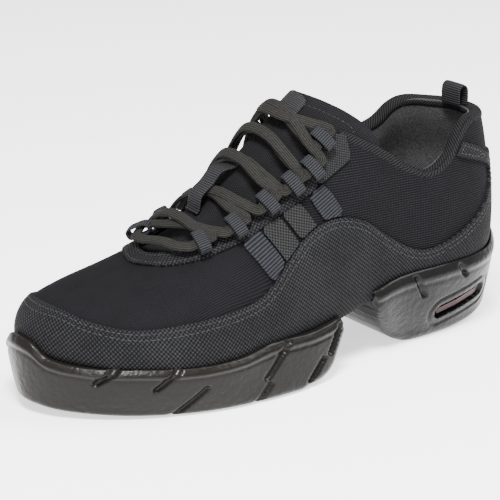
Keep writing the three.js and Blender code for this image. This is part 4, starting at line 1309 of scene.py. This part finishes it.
# The lace loops: twelve short bands of ribbed webbing, each folded round the lace and sewn to the stay.
# They stand in two rows along the throat's edge, six on each side.
lace_wide = 0.0054
lace_thick = 0.003
loop_long = 0.006
loop_reach = 0.013
loop_room = 0.0006
loop_out = 0.0025
LOOPS = table(
    "outer outer_out inner inner_out",
    (0.683, 1, 0.733, -1),
    (0.62, 1, 0.655, 1),
    (0.557, 1, 0.59, 1),
    (0.507, 1, 0.538, 1),
    (0.466, 1, 0.492, 1),
    (0.432, -0.4, 0.448, 0),
)
loop_seat = 3 * clearance + max(overlay_thick, web_thick)
loop_inside = lace_thick + 2 * loop_room
loop_high = loop_inside + 2 * web_thick
loop_web = webbing_of("loop_webbing", (0.0035, 0.0035, 0.004), (0.024, 0.025, 0.029), 0.0012, False, False)
loop_frames = {}
for side, side_name in ((1, "outer"), (-1, "inner")):
    for i in range(6):
        out = LOOPS[side_name + "_out"][i] * loop_out
        f = edge_frame(side, LOOPS[side_name][i], out)
        loop_frames[side_name, i] = f
        path = oval(48, (loop_reach - web_thick) / 2, (loop_high - web_thick) / 2, 0.62)
        middle = f["p"] + f["up"] * (loop_seat + loop_high / 2)
        line = middle + path[:, :1] * f["across"] + path[:, 1:] * f["up"]
        run = unit(np.roll(line[:-1], -1, 0) - np.roll(line[:-1], 1, 0))
        run = np.vstack([run, run[:1]])
        aside = np.broadcast_to(f["ahead"], run.shape)
        section = oval(16, loop_long / 2, web_thick / 2, 0.5)
        band = tube(line, aside, unit(np.cross(run, aside)), section, capped=False)
        loop = piece(f"lace_loop_{i + 1}_{side_name}", band, loop_web)
        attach(loop, "root")
        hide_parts(f"loop_{i + 1}_{side_name}")

# The lace: a flat oval cord with woven ribs, laced crosswise through the loops with a bar at the front.
# One strand of each crossing lies over the other, and the ends stop in the top loops.
lace_up = loop_seat + web_thick + loop_room + lace_thick / 2
lace_dip = 0.0016
top_bow, top_rise = 0.012, 0.0015
lace_reach = loop_long / 2 + lace_wide / 2


def through(side_name, i, shares):
    f = loop_frames[side_name, i]
    return [(f["p"] + f["up"] * lace_up + f["ahead"] * share * lace_reach, f["up"]) for share in shares]


def smooth_path(points, ups, step):
    """A rounded line through places, at even steps, with its directions across and up."""
    points, ups = np.array(points), np.array(ups)
    gaps = np.sqrt(np.linalg.norm(np.diff(points, axis=0), axis=-1))
    knots = np.concatenate([[0], np.cumsum(gaps)])
    padded = np.vstack([2 * points[0] - points[1], points, 2 * points[-1] - points[-2]])
    times = np.concatenate([[-gaps[0]], knots, [knots[-1] + gaps[-1]]])
    fine = []
    for i in range(1, len(padded) - 2):
        count = max(2, int(np.linalg.norm(padded[i + 1] - padded[i]) / step))
        t = np.linspace(times[i], times[i + 1], count, endpoint=False)[:, None]
        t0, t1, t2, t3 = times[i - 1 : i + 3]
        p0, p1, p2, p3 = padded[i - 1 : i + 3]
        a1 = (t1 - t) / (t1 - t0) * p0 + (t - t0) / (t1 - t0) * p1
        a2 = (t2 - t) / (t2 - t1) * p1 + (t - t1) / (t2 - t1) * p2
        a3 = (t3 - t) / (t3 - t2) * p2 + (t - t2) / (t3 - t2) * p3
        b1 = (t2 - t) / (t2 - t0) * a1 + (t - t0) / (t2 - t0) * a2
        b2 = (t3 - t) / (t3 - t1) * a2 + (t - t1) / (t3 - t1) * a3
        fine.append((t2 - t) / (t2 - t1) * b1 + (t - t1) / (t2 - t1) * b2)
    line = np.vstack([*fine, points[-1:]])
    share = np.linspace(0, 1, len(line))
    nearest = np.linalg.norm(line[:, None] - points[None], axis=-1)
    weight = 1 / (nearest**2 + 1e-8)
    up = unit((weight[..., None] * ups[None]).sum(1))
    run = unit(np.gradient(line, axis=0))
    across = unit(np.cross(up, run))
    return line, across, np.cross(run, across)


def lace_run(passes, bow, rise_of):
    places = list(passes[0])
    for i in range(1, len(passes)):
        start, stop = places[-1][0], passes[i][0][0]
        for share in (0.2, 0.4, 0.6, 0.8):
            hump = math.sin(math.pi * share) ** 2
            p = start + (stop - start) * share
            seat, out = last_over(p[0] + bow * hump, p[1])
            places.append((seat[0] + out[0] * (lace_up + rise_of(i - 1) * hump), out[0]))
        places += passes[i]
    return smooth_path([p for p, _ in places], [up for _, up in places], 0.0011)


def zigzag(first):
    sides = ("outer", "inner") if first == "outer" else ("inner", "outer")
    shares = [[0.2, -0.5, -1], *[[1, 0.5, -0.5, -1]] * 4, [1, 0.5]]
    return [through(sides[i % 2], i, shares[i]) for i in range(6)]


def over_or_under(lift):
    return lambda row: -lace_dip + 0.4 * lift if row == 1 else lift


bar_ends = [through("outer", 0, [-0.2, 0.5, 1]), through("inner", 0, [1, 0.5, -0.2])]
top_ends = [through("outer", 5, [0.2, -0.5, -1]), through("inner", 5, [-1, -0.5, 0.2])]
runs = {
    "lace_bar": (bar_ends, 0, lambda row: 0),
    "lace_over": (zigzag("outer"), 0, over_or_under(0.0012)),
    "lace_under": (zigzag("inner"), 0, over_or_under(-0.0014)),
    "lace_top": (top_ends, top_bow, lambda row: top_rise),
}
lace_cloth, tree, shader = blank("woven_lace", (0.01, 0.01, 0.009), 0.75, 0.08)
axes = cloth_axes(tree)
lace_rib = 0.00105
braid_pitch = 0.0009
slant = maths(tree, "MULTIPLY_ADD", axes[1], 0.8, axes[0])
braid = ripple(tree, slant, braid_pitch)
speckle = uneven(tree, object_axes(tree)[0], 0.0012, 2.0)
braid = maths(tree, "MULTIPLY_ADD", speckle, 0.4, maths(tree, "MULTIPLY", braid, 0.25))
braid = maths(tree, "MULTIPLY_ADD", ripple(tree, axes[1], lace_rib), 0.45, braid)
dress(tree, shader, braid, 0.0005, (0.003, 0.003, 0.0028), (0.026, 0.0255, 0.023), (0.25, 1.0))

lace_section = oval(36, lace_wide / 2, 0.4 * lace_thick, 0.75)
whole_lace = bmesh.new()
whole_lace.loops.layers.uv.new("cloth")
for passes, bow, rise_of in runs.values():
    strand = tube(*lace_run(passes, bow, rise_of), lace_section)
    mesh = bpy.data.meshes.new("strand")
    strand.to_mesh(mesh)
    whole_lace.from_mesh(mesh)
    bpy.data.meshes.remove(mesh)
    strand.free()
laces = piece("woven_laces", whole_lace, lace_cloth)
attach(laces, "root")
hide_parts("laces")

# The lace's keeper and the pull loop: flat bands of the same webbing. One is sewn to the tongue over the
# second crossing, and one is folded up from the back of the collar.
keeper_along = 0.606
keeper_long = 0.024
pull_along = 0.043
pull_wide, pull_high, pull_gap = 0.014, 0.01, 0.005
keeper_up = lace_up - lace_dip + (lace_thick + web_thick) / 2 + 2 * clearance
keeper_foot = tongue_rise - tongue_seat + 2 * clearance + web_thick / 2
keeper_spots, keeper_outs = [], []
for share in (-1, -0.9, -0.5, 0, 0.5, 0.9, 1):
    along = keeper_along + share * keeper_long / 2 / last_length
    seat, out = last_over(x_at(along), column_at(THROAT, "along", "axis", along) * ball_width)
    up = keeper_foot if abs(share) > 0.8 else keeper_up
    keeper_spots.append(seat[0] + out[0] * up)
    keeper_outs.append(out[0])
band_section = oval(20, web_width / 2, web_thick / 2, 0.45)
keeper_dark, keeper_light = (0.004, 0.004, 0.0045), (0.024, 0.024, 0.026)
keeper_web = webbing_of("keeper_webbing", keeper_dark, keeper_light, 0.0012, False, False)
keeper_band = tube(*smooth_path(keeper_spots, keeper_outs, 0.0008), band_section)
keeper = piece("keeper_band", keeper_band, keeper_web)
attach(keeper, "root")
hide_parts("lace_keeper")

pull_x = x_at(pull_along)
pull_sink = 0.0004
pull_foot = float(collar_up(pull_x)) - pull_sink
pull_rise = pull_high + pull_sink
pull_path = [(-1, 0), (-1.1, 0.45), (-0.9, 0.85), (0, 1), (0.9, 0.85), (1.1, 0.45), (1, 0)]
pull_spots = [(pull_x + share * pull_gap / 2, 0, pull_foot + up * pull_rise) for share, up in pull_path]
pull_outs = [(share, 0, 1 if up == 1 else 0.3) for share, up in pull_path]
pull_section = oval(20, pull_wide / 2, web_thick / 2, 0.45)
pull_band = tube(*smooth_path(pull_spots, unit(np.array(pull_outs)), 0.0006), pull_section)
pull_loop = piece("pull_band", pull_band, keeper_web)
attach(pull_loop, "root")
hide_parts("pull_loop")

# The studio: a pale floor that runs off into a white room, one large soft light from the left and above,
# a second from the right and a low one that draws the gloss on the soles.
floor_bm = bmesh.new()
bmesh.ops.create_grid(floor_bm, x_segments=1, y_segments=1, size=4)
floor_paint, tree, shader = blank("studio_floor", (0.93, 0.93, 0.93), 0.8, 0.1)
shader.inputs["Emission Color"].default_value = (1, 1, 1, 1)
shader.inputs["Emission Strength"].default_value = 1.2
floor = piece("studio_floor", floor_bm, floor_paint)
floor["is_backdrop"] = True
world = bpy.data.worlds.new("studio")
bpy.context.scene.world = world
world.use_nodes = True
world.node_tree.nodes["Background"].inputs["Color"].default_value = (1, 1, 1, 1)
world.node_tree.nodes["Background"].inputs["Strength"].default_value = 0.9
middle = np.array([0.0895, 0, 0.0585])
for name, away, size, power in (
    ("key", (0.5, 0.6, 1.3), 0.4, 75),
    ("fill", (-0.7, 0.5, 1.0), 0.7, 22),
    ("low", (0.9, 0.8, 0.4), 0.4, 6),
):
    light = bpy.data.objects.new(name, bpy.data.lights.new(name, "AREA"))
    light.data.size = size
    light.data.energy = power
    light.location = Vector(middle) + Vector(away)
    light.rotation_mode = "QUATERNION"
    light.rotation_quaternion = (-Vector(away)).to_track_quat("-Z", "Y")
    bpy.context.scene.collection.objects.link(light)

# The camera stands where the photograph was taken from: ahead of the toe on the outer side, a little above.
# Its place, lens, small roll and shift were worked out from the shoe's edges in a picture of 500 by 500.
picture_size = 500
turn_from_side, height_angle = math.radians(35), math.radians(18.12)
camera_away = 1.1
camera_roll = math.radians(0.44)
focal_pixels = 2249.4
middle_pixel = (259.7, 247.2)
back = Vector(
    (
        math.sin(turn_from_side) * math.cos(height_angle),
        math.cos(turn_from_side) * math.cos(height_angle),
        math.sin(height_angle),
    )
)
right = Vector((-math.cos(turn_from_side), math.sin(turn_from_side), 0))
upwards = back.cross(right)
camera = bpy.data.objects.new("camera", bpy.data.cameras.new("camera"))
camera.data.sensor_width = 36
camera.data.lens = focal_pixels / picture_size * 36
camera.data.shift_x = -(middle_pixel[0] - picture_size / 2) / picture_size
camera.data.shift_y = (middle_pixel[1] - picture_size / 2) / picture_size
camera.data.clip_start = 0.05
turned = Matrix((right, upwards, back)).transposed() @ Matrix.Rotation(-camera_roll, 3, "Z")
camera.matrix_world = Matrix.Translation(Vector(middle) + back * camera_away) @ turned.to_4x4()
bpy.context.scene.collection.objects.link(camera)
bpy.context.scene.camera = camera

low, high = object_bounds()
